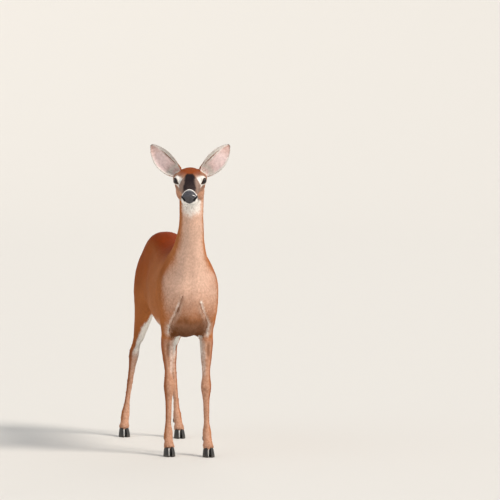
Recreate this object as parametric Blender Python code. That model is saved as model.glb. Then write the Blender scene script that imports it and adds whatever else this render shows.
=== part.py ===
"""A white-tailed deer doe in her summer coat, life size, standing alert with her head turned to one side.

Metres, +Z up. She faces -Y, her left side is +X, and the origin is on the floor under the middle of her box.
Each part is lofted from a few named stations; the flesh is fused into one body and then parted with thin cuts.
"""

import math

import bmesh
import bpy
import numpy as np
from mathutils import Matrix, Vector

# ---------------------------------------------------------------- driving dimensions
CUT = 0.0003  # gap left by every cut between two nodes
BODY_VOXEL = 0.0075
BODY_BLEND = 14  # rounds of smoothing
BODY_FACES = 2900
HEAD_VOXEL = 0.0036
HEAD_BLEND = 8
HEAD_FACES = 1500
EYE_RADIUS = 0.0168
SOCKET_RADIUS = 0.0195
SOCKET_DEPTH = 0.0060  # how far the socket's centre lies behind the eyeball's
NOSE_PAD_RADII = (0.0285, 0.026, 0.026)
EAR_LENGTH = 0.153
EAR_THICKNESS = 0.0036
EAR_BULB_RADIUS = 0.0188
EAR_BASE_RADIUS = 0.0245
HEAD_PITCH = math.radians(17)  # nose below level
HEAD_TURN = math.radians(-9)  # towards her right
HEAD_ORIGIN = Vector((0.0, -0.415, 1.188))  # the poll, where the skull meets the neck
TOE_LENGTH = 0.066
TOE_WIDTH = 0.0225
TOE_GAP = 0.0022  # half the cleft between two toes
CORONET_Z = 0.036  # where hoof meets leg

# The thin cuts that part the body. Each plane is a point on it and the way the piece above lies.
THROAT_PLANE = (Vector((0, -0.424, 1.098)), Vector((0, -0.60, 0.80)))
NECK_PLANE = (Vector((0, -0.315, 0.838)), Vector((0, -0.42, 0.91)))
KNEE_CUT_Z = 0.268
HOCK_CUT_Z = 0.385
ELBOW_CUT = {"inner_x": 0.046, "back_y": -0.185, "z": 0.490}
THIGH_CUT = {"inner_x": 0.020, "front_y": 0.215, "flank": (0.265, 0.655), "z": 0.640}
REACH = 0.35  # further to the side than any part of her

# Trunk stations, breast to buttock: y, middle z, half width, drop below, rise above, roundness below and above.
TRUNK = {
    "breast tip": (-0.430, 0.672, 0.036, 0.040, 0.044, 2.0, 2.0),
    "breast": (-0.408, 0.670, 0.074, 0.086, 0.098, 2.0, 2.0),
    "point of shoulder": (-0.360, 0.662, 0.095, 0.130, 0.145, 2.0, 1.9),
    "brisket": (-0.290, 0.650, 0.101, 0.151, 0.190, 2.0, 1.8),
    "withers": (-0.200, 0.645, 0.109, 0.161, 0.219, 2.0, 1.85),
    "girth": (-0.100, 0.640, 0.115, 0.161, 0.216, 2.1, 1.9),
    "ribs": (0.020, 0.640, 0.118, 0.158, 0.211, 2.3, 1.9),
    "belly": (0.140, 0.650, 0.117, 0.148, 0.207, 2.3, 2.0),
    "loin": (0.250, 0.680, 0.112, 0.134, 0.196, 2.2, 2.1),
    "croup": (0.350, 0.722, 0.107, 0.122, 0.180, 2.0, 2.4),
    "hip": (0.440, 0.740, 0.095, 0.106, 0.149, 2.0, 2.4),
    "tail head": (0.500, 0.746, 0.070, 0.084, 0.104, 2.0, 2.1),
    "buttock": (0.530, 0.745, 0.034, 0.040, 0.044, 2.0, 2.0),
}
# Neck stations, head to chest: x, y, z, half width, depth ahead and behind.
NECK = {
    "poll": (-0.003, -0.428, 1.168, 0.040, 0.036, 0.040),
    "throat latch": (0.004, -0.423, 1.100, 0.0525, 0.050, 0.058),
    "upper neck": (0.006, -0.403, 1.025, 0.0510, 0.054, 0.058),
    "middle neck": (0.009, -0.379, 0.950, 0.0515, 0.064, 0.066),
    "lower neck": (0.007, -0.346, 0.875, 0.0620, 0.086, 0.084),
    "neck base": (0.005, -0.304, 0.790, 0.0890, 0.131, 0.110),
    "neck root": (0.003, -0.238, 0.700, 0.0900, 0.150, 0.118),
}
# Skull stations, nose to nape, in the head's own frame: distance ahead of the poll, middle height, half width,
# drop below, rise above, roundness below and above.
SKULL = {
    "nose tip": (0.268, -0.048, 0.018, 0.018, 0.018, 2.0, 2.0),
    "nose": (0.261, -0.047, 0.0285, 0.029, 0.026, 2.2, 2.3),
    "nostrils": (0.246, -0.046, 0.0325, 0.036, 0.030, 2.2, 2.4),
    "lips": (0.220, -0.044, 0.0315, 0.040, 0.032, 2.0, 2.4),
    "muzzle": (0.190, -0.040, 0.0315, 0.046, 0.034, 1.9, 2.3),
    "cheek root": (0.160, -0.034, 0.0380, 0.060, 0.035, 1.8, 2.3),
    "inner eye": (0.132, -0.026, 0.0500, 0.077, 0.036, 1.8, 2.3),
    "brow": (0.104, -0.020, 0.0620, 0.091, 0.037, 1.9, 2.3),
    "temple": (0.074, -0.020, 0.0605, 0.092, 0.039, 2.1, 2.2),
    "crown": (0.044, -0.024, 0.0510, 0.080, 0.041, 2.1, 2.1),
    "nape": (0.014, -0.036, 0.0450, 0.060, 0.040, 2.0, 2.0),
    "back of skull": (-0.012, -0.050, 0.0330, 0.040, 0.034, 2.0, 2.0),
    "poll": (-0.028, -0.062, 0.0150, 0.018, 0.016, 2.0, 2.0),
}
# Foreleg stations of the left leg, shoulder blade to coronet: x, y, z, half width, depth ahead and behind.
FORELEG = {
    "blade top": (0.052, -0.215, 0.820, 0.028, 0.050, 0.055),
    "blade": (0.084, -0.272, 0.735, 0.037, 0.078, 0.085),
    "shoulder joint": (0.087, -0.325, 0.650, 0.037, 0.070, 0.100),
    "upper arm": (0.083, -0.292, 0.575, 0.033, 0.068, 0.076),
    "elbow": (0.0790, -0.264, 0.515, 0.0290, 0.044, 0.052),
    "forearm top": (0.080, -0.262, 0.460, 0.0290, 0.034, 0.035),
    "forearm": (0.078, -0.268, 0.390, 0.0225, 0.026, 0.025),
    "above knee": (0.077, -0.274, 0.325, 0.0190, 0.020, 0.020),
    "knee": (0.076, -0.277, 0.284, 0.0215, 0.0235, 0.0215),
    "below knee": (0.076, -0.274, 0.238, 0.0152, 0.0165, 0.0200),
    "cannon": (0.076, -0.272, 0.175, 0.0130, 0.0145, 0.0175),
    "lower cannon": (0.076, -0.273, 0.125, 0.0138, 0.0145, 0.0180),
    "fetlock": (0.076, -0.277, 0.092, 0.0190, 0.0180, 0.0220),
    "pastern": (0.076, -0.293, 0.060, 0.0185, 0.0160, 0.0170),
    "coronet": (0.076, -0.306, 0.036, 0.0230, 0.0210, 0.0200),
    "inside hoof": (0.076, -0.312, 0.022, 0.0180, 0.0150, 0.0150),
}
# Hind leg stations of the left leg, hip to coronet.
HIND_LEG = {
    "hip": (0.056, 0.385, 0.805, 0.040, 0.060, 0.075),
    "upper thigh": (0.072, 0.385, 0.730, 0.047, 0.105, 0.140),
    "thigh": (0.076, 0.380, 0.655, 0.048, 0.122, 0.133),
    "stifle": (0.076, 0.372, 0.580, 0.043, 0.112, 0.112),
    "upper gaskin": (0.074, 0.400, 0.505, 0.034, 0.074, 0.072),
    "gaskin": (0.073, 0.440, 0.440, 0.0250, 0.046, 0.048),
    "above hock": (0.073, 0.478, 0.395, 0.0180, 0.025, 0.045),
    "hock": (0.073, 0.490, 0.355, 0.0205, 0.027, 0.037),
    "below hock": (0.073, 0.488, 0.305, 0.0155, 0.0185, 0.0215),
    "cannon": (0.073, 0.483, 0.215, 0.0130, 0.0155, 0.0170),
    "lower cannon": (0.073, 0.478, 0.130, 0.0138, 0.0150, 0.0175),
    "fetlock": (0.073, 0.473, 0.092, 0.0190, 0.0180, 0.0220),
    "pastern": (0.073, 0.458, 0.060, 0.0185, 0.0160, 0.0170),
    "coronet": (0.073, 0.444, 0.036, 0.0230, 0.0210, 0.0200),
    "inside hoof": (0.073, 0.438, 0.022, 0.0180, 0.0150, 0.0150),
}
# Tail stations, root to tip: y, z, half width, depth ahead and behind.
TAIL = {
    "root": (0.470, 0.850, 0.020, 0.015, 0.014),
    "head": (0.520, 0.828, 0.023, 0.018, 0.016),
    "bend": (0.550, 0.775, 0.028, 0.018, 0.016),
    "middle": (0.559, 0.705, 0.031, 0.017, 0.015),
    "lower": (0.559, 0.635, 0.023, 0.013, 0.012),
    "tip": (0.556, 0.585, 0.006, 0.004, 0.004),
}
# How far each leg stands from its neutral place, at its knee or hock and at its foot: sideways (+X is her left)
# and forward or back (+Y is back).
STANCE = {
    "fore_left": ((0.006, -0.014), (0.009, -0.030)),
    "fore_right": ((0.007, 0.010), (0.004, 0.020)),
    "hind_left": ((-0.030, -0.022), (-0.004, -0.040)),
    "hind_right": ((-0.042, 0.034), (-0.094, 0.060)),
}
JOINT_Z = {"fore": 0.284, "hind": 0.355}  # height of knee and hock
SPINE_BOW = 0.011  # how far the back bends towards her left between breast and hip
# Colours of the summer coat and of the bare parts.
RUFOUS = (0.42, 0.17, 0.065, 1.0)
PALE = (0.80, 0.74, 0.68, 1.0)
HORN_BLACK = (0.020, 0.018, 0.017, 1.0)
NOSE_BLACK = (0.025, 0.024, 0.028, 1.0)
EYE_BROWN = (0.030, 0.012, 0.006, 1.0)


# ---------------------------------------------------------------- shaping tools
def clear_scene():
    for old in list(bpy.data.objects):
        bpy.data.objects.remove(old)


def through(stations, steps):
    """Rows on a smooth cubic through the stations, steps of them between each pair, spaced by distance."""
    rows = np.array(stations, float)
    knots = np.concatenate([[0.0], np.cumsum(np.linalg.norm(np.diff(rows[:, :3], axis=0), axis=1))])
    slopes = np.gradient(rows, knots, axis=0)
    out = [rows[0]]
    for i in range(len(rows) - 1):
        span = knots[i + 1] - knots[i]
        for k in range(1, steps + 1):
            t = k / steps
            h00 = 2 * t**3 - 3 * t**2 + 1
            h10 = t**3 - 2 * t**2 + t
            h01 = -2 * t**3 + 3 * t**2
            h11 = t**3 - t**2
            out.append(
                h00 * rows[i] + h10 * span * slopes[i] + h01 * rows[i + 1] + h11 * span * slopes[i + 1]
            )
    return np.array(out)


def closed_mesh(name, rings, folded=False):
    """A closed mesh bridged over rings of equal count.

    Each end is closed by a fan, or where a folded ring runs out and back, by a strip across its thickness.
    """
    bm = bmesh.new()
    loops = [[bm.verts.new(p) for p in ring] for ring in rings]
    count = len(rings[0])
    for a, b in zip(loops, loops[1:]):
        for i in range(count):
            j = (i + 1) % count
            bm.faces.new((a[i], a[j], b[j], b[i]))
    for loop in (loops[0], loops[-1]):
        if folded:
            for i in range(count // 2 - 1):
                bm.faces.new((loop[i], loop[i + 1], loop[count - 2 - i], loop[count - 1 - i]))
            continue
        centre = sum((v.co for v in loop), Vector()) / count
        tip = bm.verts.new(centre)
        for i in range(count):
            bm.faces.new((loop[i], loop[(i + 1) % count], tip))
    bmesh.ops.recalc_face_normals(bm, faces=bm.faces)
    if bm.calc_volume(signed=True) < 0:
        bmesh.ops.reverse_faces(bm, faces=bm.faces)
    mesh = bpy.data.meshes.new(name)
    bm.to_mesh(mesh)
    bm.free()
    obj = bpy.data.objects.new(name, mesh)
    bpy.context.scene.collection.objects.link(obj)
    return obj


def loft(name, rows, steps=5, sides=28):
    """Lofts rows of x, y, z, half width, ahead, behind, roundness ahead and behind, square to their own path.

    Ahead is the belly side on the trunk and head, and the front on the neck and legs.
    """
    rows = [tuple(r) + (2.0, 2.0) if len(r) == 6 else tuple(r) for r in rows]
    fine = through(rows, steps)
    path = fine[:, :3]
    tangents = np.gradient(path, axis=0)
    rings = []
    for row, tangent in zip(fine, tangents):
        along = Vector(tangent).normalized()
        side = Vector((1, 0, 0))
        side = (side - along * side.dot(along)).normalized()
        front = along.cross(side)
        ring = []
        for k in range(sides):
            angle = 2 * math.pi * k / sides
            c, s = math.cos(angle), math.sin(angle)
            depth, power = (row[4], row[6]) if s >= 0 else (row[5], row[7])
            across = math.copysign(abs(c) ** (2 / power), c) * row[3]
            over = math.copysign(abs(s) ** (2 / power), s) * depth
            ring.append(Vector(row[:3]) + side * across + front * over)
        rings.append(ring)
    return closed_mesh(name, rings)


def ball(name, centre, radii):
    """An ellipsoid."""
    bm = bmesh.new()
    bmesh.ops.create_icosphere(bm, subdivisions=3, radius=1.0)
    place = Matrix.Translation(centre) @ Matrix.Diagonal((*radii, 1.0))
    bmesh.ops.transform(bm, matrix=place, verts=bm.verts)
    mesh = bpy.data.meshes.new(name)
    bm.to_mesh(mesh)
    bm.free()
    obj = bpy.data.objects.new(name, mesh)
    bpy.context.scene.collection.objects.link(obj)
    return obj


def block(name, low, high):
    """A box between two corners."""
    bm = bmesh.new()
    bmesh.ops.create_cube(bm, size=1.0)
    low, high = Vector(low), Vector(high)
    size = high - low
    bmesh.ops.transform(
        bm, matrix=Matrix.Translation((low + high) / 2) @ Matrix.Diagonal((*size, 1.0)), verts=bm.verts
    )
    mesh = bpy.data.meshes.new(name)
    bm.to_mesh(mesh)
    bm.free()
    obj = bpy.data.objects.new(name, mesh)
    bpy.context.scene.collection.objects.link(obj)
    return obj


def half_space(name, point, normal, reach=0.7, spread=0.5):
    """A box whose base face is centred on the point, reaching along the normal."""
    obj = block(name, (-spread, -spread, 0), (spread, spread, reach))
    normal = Vector(normal).normalized()
    turn = normal.to_track_quat("Z", "Y").to_matrix().to_4x4()
    obj.data.transform(Matrix.Translation(point) @ turn)
    return obj


def freeze(obj):
    """Replaces the object's mesh by what its modifiers make of it."""
    graph = bpy.context.evaluated_depsgraph_get()
    graph.update()
    mesh = bpy.data.meshes.new_from_object(obj.evaluated_get(graph))
    obj.modifiers.clear()
    obj.data = mesh
    return obj


def copy_of(obj, name):
    twin = bpy.data.objects.new(name, obj.data.copy())
    bpy.context.scene.collection.objects.link(twin)
    return twin


def drop(*objects):
    for obj in objects:
        bpy.data.objects.remove(obj)


def grown(obj, by=CUT):
    """A copy with its surface moved outwards."""
    twin = copy_of(obj, obj.name + "_grown")
    bm = bmesh.new()
    bm.from_mesh(twin.data)
    bm.normal_update()
    moves = [v.normal * by for v in bm.verts]
    for v, move in zip(bm.verts, moves):
        v.co += move
    bm.to_mesh(twin.data)
    bm.free()
    return twin


def boolean(obj, cutter, operation):
    mod = obj.modifiers.new(operation.lower(), "BOOLEAN")
    mod.operation = operation
    mod.object = cutter
    return freeze(obj)


def carve(body, name, region):
    """Takes the part of the body inside the region out as a new object, and leaves a thin cut round it."""
    piece = boolean(copy_of(body, name), region, "INTERSECT")
    wider = grown_block(region)
    boolean(body, wider, "DIFFERENCE")
    drop(region, wider)
    return piece


def grown_block(region):
    """A box widened by the cut on every face."""
    twin = copy_of(region, region.name + "_grown")
    bm = bmesh.new()
    bm.from_mesh(twin.data)
    bm.normal_update()
    moves = {v: sum((f.normal for f in v.link_faces), Vector()) * CUT for v in bm.verts}
    for v, move in moves.items():
        v.co += move
    bm.to_mesh(twin.data)
    bm.free()
    return twin


def clear_splinters(obj):
    """Keeps only the largest body of a mesh: shallow cuts can leave slivers loose beside it."""
    bm = bmesh.new()
    bm.from_mesh(obj.data)
    left, islands = set(bm.verts), []
    while left:
        island, edge = set(), {left.pop()}
        while edge:
            island |= edge
            edge = {e.other_vert(v) for v in edge for e in v.link_edges} - island
        left -= island
        islands.append(island)
    islands.sort(key=len)
    bmesh.ops.delete(bm, geom=[v for island in islands[:-1] for v in island], context="VERTS")
    bm.to_mesh(obj.data)
    bm.free()


def fuse(name, forms, voxel, rounds, calm_below=None):
    """One skin over overlapping forms. Rounds of smoothing blend the creases, fewer of them below calm_below."""
    bm = bmesh.new()
    for form in forms:
        bm.from_mesh(form.data)
    mesh = bpy.data.meshes.new(name)
    bm.to_mesh(mesh)
    bm.free()
    obj = bpy.data.objects.new(name, mesh)
    bpy.context.scene.collection.objects.link(obj)
    remesh = obj.modifiers.new("skin", "REMESH")
    remesh.mode = "VOXEL"
    remesh.voxel_size = voxel
    freeze(obj)
    smooth = obj.modifiers.new("blend", "SMOOTH")
    smooth.factor = 0.5
    smooth.iterations = rounds
    if calm_below is not None:
        group = obj.vertex_groups.new(name="blend")
        low, high = calm_below
        for v in obj.data.vertices:
            t = min(1.0, max(0.0, (v.co.z - low) / (high - low)))
            group.add([v.index], 0.12 + 0.88 * t * t * (3 - 2 * t), "REPLACE")
        smooth.vertex_group = "blend"
    freeze(obj)
    obj.vertex_groups.clear()
    return obj


def thin_out(obj, triangles):
    """Fewer, larger faces where the surface is calm."""
    bm = bmesh.new()
    bm.from_mesh(obj.data)
    bmesh.ops.triangulate(bm, faces=bm.faces)
    now = len(bm.faces)
    bm.to_mesh(obj.data)
    bm.free()
    mod = obj.modifiers.new("thin", "DECIMATE")
    mod.ratio = min(1.0, triangles / now)
    return freeze(obj)


# ---------------------------------------------------------------- the flesh
def bow(y):
    """How far the spine lies to her left at this length."""
    return SPINE_BOW * max(0.0, 1 - ((y + 0.02) / 0.42) ** 2)


def trunk_form():
    rows = [(bow(y), y, z, w, below, above, n1, n2) for y, z, w, below, above, n1, n2 in TRUNK.values()]
    return loft("trunk_form", rows, sides=40)


def neck_form():
    return loft("neck_form", list(NECK.values()), sides=32)


def tail_form():
    rows = [(0.0, y, z, w, ahead, behind) for y, z, w, ahead, behind in TAIL.values()]
    return loft("tail", rows, steps=2, sides=12)


def posed(stations, foot, side):
    """The stations of one leg, bent from its top so that knee or hock and foot stand where the stance puts them."""
    rows = [list(r) for r in stations.values()]
    joint, sole = STANCE[foot]
    top, knee = rows[0][2], JOINT_Z[foot[:4]]
    for row in rows:
        row[0] = side * row[0]
        if row[2] >= knee:
            share = ((top - row[2]) / (top - knee)) ** 1.8
            dx, dy = joint[0] * share, joint[1] * share
            row[0] += bow(row[1]) * (1 - share)
        else:
            share = (knee - row[2]) / knee
            dx = joint[0] + (sole[0] - joint[0]) * share
            dy = joint[1] + (sole[1] - joint[1]) * share
        row[0] += dx
        row[1] += dy
    return rows


def head_place():
    """From the head's own frame, with its length along -Y, to the body's."""
    return Matrix.Translation(HEAD_ORIGIN) @ Matrix.Rotation(HEAD_TURN, 4, "Z") @ Matrix.Rotation(HEAD_PITCH, 4, "X")


def eye_centre(side):
    return Vector((side * 0.0485, -0.1150, -0.0150))


def eye_gaze(side):
    """The way an eye looks: outwards and ahead."""
    return Vector((side * 0.80, -0.58, 0.12)).normalized()


def head_forms():
    """Skull, brows, cheeks and the bulbs that the ears grow from, in the head's own frame."""
    rows = [(0.0, -s, h, w, below, above, n1, n2) for s, h, w, below, above, n1, n2 in SKULL.values()]
    forms = [loft("skull_form", rows, sides=32)]
    for side in (-1, 1):
        forms.append(ball("brow_form", (side * 0.0480, -0.086, -0.014), (0.0225, 0.046, 0.0220)))
        socket = eye_centre(side) - eye_gaze(side) * SOCKET_DEPTH
        forms.append(ball("socket_form", socket, (SOCKET_RADIUS,) * 3))
        forms.append(ball("cheek_form", (side * 0.0365, -0.074, -0.070), (0.0205, 0.050, 0.044)))
        forms.append(ball("nostril_form", (side * 0.019, -0.247, -0.040), (0.0145, 0.017, 0.0165)))
        root, along = ear_root(side), ear_axes(side)[2]
        forms.append(ball("ear_bulb_form", root - along * 0.004, (EAR_BULB_RADIUS,) * 3))
        forms.append(ball("ear_base_form", root - along * 0.021, (EAR_BASE_RADIUS,) * 3))
    return forms


# ---------------------------------------------------------------- ears
def ear_root(side):
    return Vector((side * 0.0520, -0.018, -0.011))


def ear_axes(side):
    """Across, facing and along directions of one ear, in the head's own frame."""
    along = Vector((side * 0.695, 0.10, 0.710)).normalized()
    facing = Vector((side * 0.16, -0.98, 0.10))
    facing = (facing - along * facing.dot(along)).normalized()
    return along.cross(facing), facing, along


def ear_half_width(u):
    """Half the width of the flattened ear, base at u = 0 and tip at u = 1."""
    return 0.0540 * (0.84 + 0.16 * math.sin(math.pi * u)) * (1 - u**2.9) ** 0.78


def ear_surface(side, u, v, offset):
    """A point of the ear's cup: u along it, v across from -1 to 1, offset off the middle of its thickness."""
    across, facing, along = ear_axes(side)
    half = ear_half_width(u)
    curl = math.radians(250 - 185 * u**0.55)  # nearly a tube at the base, a shallow cup at the tip
    radius = 2 * half / curl
    angle = v * curl / 2
    sideways = math.sin(angle) * (radius + offset)
    deep = -math.cos(angle) * (radius + offset) + radius * math.cos(curl * 0.30)
    lean = 0.012 * math.sin(math.pi * u) - 0.010 * u * u
    return ear_root(side) + along * (u * EAR_LENGTH) + across * sideways + facing * (deep + lean)


def make_ear(name, side, lengthways=12, across=8):
    """A cupped ear with its rim rounded, closed at both ends."""
    rings = []
    for i in range(lengthways + 1):
        u = 0.985 * (i / lengthways) ** 0.9
        half = EAR_THICKNESS / 2 * (1 - 0.55 * u)
        back = [ear_surface(side, u, -1 + 2 * k / across, half) for k in range(across + 1)]
        front = [ear_surface(side, u, 1 - 2 * k / across, -half) for k in range(across + 1)]
        rings.append(back + front)
    ear = closed_mesh(name, rings, folded=True)
    ear.data.transform(head_place())
    return ear


# ---------------------------------------------------------------- hooves
def toe_outline(share):
    """One toe's outline at a share of its size, seen from above: flat on its inner side, pointed ahead (-Y)."""
    length, width, point = TOE_LENGTH * share, TOE_WIDTH * share, 0.004
    outer = [k / 7 for k in range(8)]
    inner = [0.75, 0.50, 0.25]
    outline = [(width * math.sin(math.pi * t**0.74) ** 0.82 + point * t * t, length * (0.42 - t)) for t in outer]
    outline += [(point * t * t, length * (0.42 - t)) for t in inner]
    return outline


def make_toe(name, foot_x, foot_y, side):
    """One toe of a cloven hoof. Side is -1 or 1 across the foot."""
    levels = ((0.0, 1.00, 0.0), (0.010, 0.985, 0.0015), (0.022, 0.90, 0.006), (CORONET_Z - CUT, 0.76, 0.012))
    rings = []
    for z, share, back in levels:
        outline = toe_outline(share)
        rings.append([Vector((foot_x + side * (TOE_GAP + x), foot_y - 0.010 + y + back, z)) for x, y in outline])
    return closed_mesh(name, rings)


def make_dewclaw(name, fetlock_x, fetlock_y, side):
    """The small claw behind the fetlock."""
    rings = []
    for t, radius in ((0.0, 0.0050), (0.3, 0.0078), (0.7, 0.0065), (1.0, 0.0022)):
        centre = Vector((fetlock_x + side * (0.0095 + 0.002 * t), fetlock_y + 0.017 + 0.012 * t, 0.084 - 0.024 * t))
        rings.append([
            centre + Vector((math.cos(a) * radius, math.sin(a) * radius * 0.8, math.sin(a) * radius * 0.5))
            for a in (2 * math.pi * k / 6 for k in range(6))
        ])
    return closed_mesh(name, rings)


# ---------------------------------------------------------------- assembly
def paint(obj, name, colour, roughness):
    material = bpy.data.materials.get(name) or bpy.data.materials.new(name)
    material.use_nodes = True
    shader = material.node_tree.nodes["Principled BSDF"]
    shader.inputs["Base Color"].default_value = colour
    shader.inputs["Roughness"].default_value = roughness
    obj.data.materials.clear()
    obj.data.materials.append(material)


def smooth_shade(objects):
    for obj in objects:
        obj.data.shade_smooth()
        obj.data.set_sharp_from_angle(angle=math.radians(40))


def foot_places():
    """Foot name to the middles of its coronet and its fetlock."""
    places = {}
    for end, stations in (("fore", FORELEG), ("hind", HIND_LEG)):
        for word, side in (("left", 1), ("right", -1)):
            rows = dict(zip(stations, posed(stations, f"{end}_{word}", side)))
            places[f"{end}_{word}"] = (rows["coronet"], rows["fetlock"])
    return places


def make_flesh():
    """The body and the head, each fused from its forms and thinned to its share of the faces."""
    neck = neck_form()
    forms = [trunk_form(), neck, ball("udder_form", (0.004, 0.325, 0.562), (0.050, 0.060, 0.040))]
    for end, stations in (("fore", FORELEG), ("hind", HIND_LEG)):
        for word, side in (("left", 1), ("right", -1)):
            forms.append(loft(f"{end}_{word}_form", posed(stations, f"{end}_{word}", side), sides=24))
    body = fuse("trunk", forms, BODY_VOXEL, BODY_BLEND, calm_below=(0.40, 0.54))
    skull = head_forms()
    for form in skull:
        form.data.transform(head_place())
    head = fuse("head", skull + [neck], HEAD_VOXEL, HEAD_BLEND)
    drop(*forms, *skull)
    thin_out(body, BODY_FACES)
    thin_out(head, HEAD_FACES)
    region = half_space("head_region", *THROAT_PLANE)
    boolean(head, region, "INTERSECT")
    boolean(body, grown_block(region), "DIFFERENCE")
    drop(region)
    return body, head


def make_nose(head):
    """The bare pad at the end of the muzzle, taken out of the head."""
    region = ball("nose_region", (0, -0.268, -0.030), NOSE_PAD_RADII)
    region.data.transform(head_place())
    nose = boolean(copy_of(head, "nose_pad"), region, "INTERSECT")
    boolean(head, grown(region), "DIFFERENCE")
    drop(region)
    return nose


def make_eyes_and_ears(head):
    """Both let into the head."""
    eyes, ears = [], []
    for word, side in (("left", 1), ("right", -1)):
        eyes.append(ball(f"eye_{word}", head_place() @ eye_centre(side), (EYE_RADIUS,) * 3))
        ears.append(make_ear(f"ear_{word}", side))
    for piece in eyes + ears:
        boolean(head, grown(piece), "DIFFERENCE")
    return eyes, ears


def make_feet(body):
    """Hooves and dewclaws, with the legs cut off level at the coronet."""
    sole = block("sole_region", (-1, -1, -1), (1, 1, CORONET_Z))
    boolean(body, sole, "DIFFERENCE")
    drop(sole)
    horn = []
    for foot, (coronet, fetlock) in foot_places().items():
        for word, side in (("inner", -1), ("outer", 1)):
            across = side if foot.endswith("left") else -side
            horn.append(make_toe(f"hoof_{foot}_{word}", coronet[0], coronet[1], across))
            claw = make_dewclaw(f"dewclaw_{foot}_{word}", fetlock[0], fetlock[1], across)
            boolean(body, grown(claw), "DIFFERENCE")
            horn.append(claw)
    return horn


def beside(side, inner_x):
    """The span in x from the inner distance outwards, on one side."""
    return sorted((side * inner_x, side * REACH))


def part_body(body):
    """Legs, neck and tail from the trunk."""
    pieces = []
    for word, side in (("left", 1), ("right", -1)):
        low, high = beside(side, 0.002)
        pieces.append(carve(body, f"fore_shank_{word}", block("region", (low, -0.5, 0), (high, 0.1, KNEE_CUT_Z))))
        pieces.append(carve(body, f"hind_shank_{word}", block("region", (low, 0.25, 0), (high, 0.8, HOCK_CUT_Z))))
        low, high = beside(side, ELBOW_CUT["inner_x"])
        region = block("region", (low, -0.5, 0.2), (high, ELBOW_CUT["back_y"], ELBOW_CUT["z"]))
        pieces.append(carve(body, f"forearm_{word}", region))
        pieces.append(carve(body, f"thigh_{word}", thigh_region(*beside(side, THIGH_CUT["inner_x"]))))
    pieces.append(carve(body, "neck", half_space("region", *NECK_PLANE)))
    tail = tail_form()
    boolean(body, grown(tail), "DIFFERENCE")
    return pieces, tail


def build():
    clear_scene()
    body, head = make_flesh()
    nose = make_nose(head)
    eyes, ears = make_eyes_and_ears(head)
    horn = make_feet(body)
    pieces, tail = part_body(body)
    flesh = [head, body] + pieces
    for obj in flesh:
        clear_splinters(obj)
    for obj in flesh + ears:
        paint(obj, "coat", RUFOUS, 0.8)
    paint(tail, "tail coat", PALE, 0.85)
    paint(nose, "nose skin", NOSE_BLACK, 0.35)
    for obj in eyes:
        paint(obj, "eye", EYE_BROWN, 0.08)
    for obj in horn:
        paint(obj, "hoof horn", HORN_BLACK, 0.45)
    everything = flesh + ears + [tail, nose] + eyes + horn
    for helper in [o for o in bpy.data.objects if o not in everything]:
        drop(helper)
    centre_on_floor(everything)
    smooth_shade(everything)


def thigh_region(inner, outer):
    """Below a plane from flank to buttock, and behind one down the front of the thigh."""
    region = block("region", (inner, THIGH_CUT["front_y"], 0.30), (outer, 0.80, THIGH_CUT["z"]))
    for v in region.data.vertices:
        if v.co.y < 0.3 and v.co.z > 0.4:
            v.co.y, v.co.z = THIGH_CUT["flank"]
    return region


def centre_on_floor(objects):
    """Moves everything so that the origin is under the middle of the whole box."""
    points = np.array([v.co for obj in objects for v in obj.data.vertices])
    low, high = points.min(0), points.max(0)
    shift = Vector((-(low[0] + high[0]) / 2, -(low[1] + high[1]) / 2, -low[2]))
    for obj in objects:
        obj.data.transform(Matrix.Translation(shift))
    print("shift", [round(s, 4) for s in shift], "box", np.round(high - low, 4))


build()
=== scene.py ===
import math

import bmesh
import bpy
import numpy as np
from mathutils import Matrix, Vector
from mathutils.bvhtree import BVHTree
from mathutils.kdtree import KDTree


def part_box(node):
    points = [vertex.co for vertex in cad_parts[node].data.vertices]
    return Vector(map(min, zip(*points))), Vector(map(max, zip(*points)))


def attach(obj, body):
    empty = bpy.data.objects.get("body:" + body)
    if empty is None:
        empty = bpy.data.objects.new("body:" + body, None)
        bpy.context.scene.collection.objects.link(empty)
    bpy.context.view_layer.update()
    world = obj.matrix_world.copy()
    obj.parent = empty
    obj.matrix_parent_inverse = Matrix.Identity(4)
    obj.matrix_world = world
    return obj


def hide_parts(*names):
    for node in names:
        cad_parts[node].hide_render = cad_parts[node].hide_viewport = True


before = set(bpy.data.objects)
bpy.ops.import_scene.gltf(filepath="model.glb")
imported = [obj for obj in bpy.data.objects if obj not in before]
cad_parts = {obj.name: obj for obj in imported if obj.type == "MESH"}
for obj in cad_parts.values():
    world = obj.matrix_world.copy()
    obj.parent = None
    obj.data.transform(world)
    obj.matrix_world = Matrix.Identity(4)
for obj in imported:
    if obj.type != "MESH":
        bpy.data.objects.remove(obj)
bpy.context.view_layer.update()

scene = bpy.context.scene
sides = {"left": 1, "right": -1}  # her left is +X
mm = 0.001


# ---- helpers

def linearColour(hexColour):  # sRGB hex to the linear colour that sockets take
    parts = [int(hexColour[i:i + 2], 16) / 255 for i in (1, 3, 5)]
    return [p / 12.92 if p < 0.04045 else ((p + 0.055) / 1.055) ** 2.4 for p in parts] + [1.0]


def ramp(low, high, values):  # 0 below low, 1 above high, smooth between; low may be the greater
    t = np.clip((values - low) / (high - low), 0, 1)
    return t * t * (3 - 2 * t)


def unit(vectors):
    vectors = np.asarray(vectors, float)
    return vectors / np.maximum(np.linalg.norm(vectors, axis=-1, keepdims=True), 1e-12)


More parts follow.
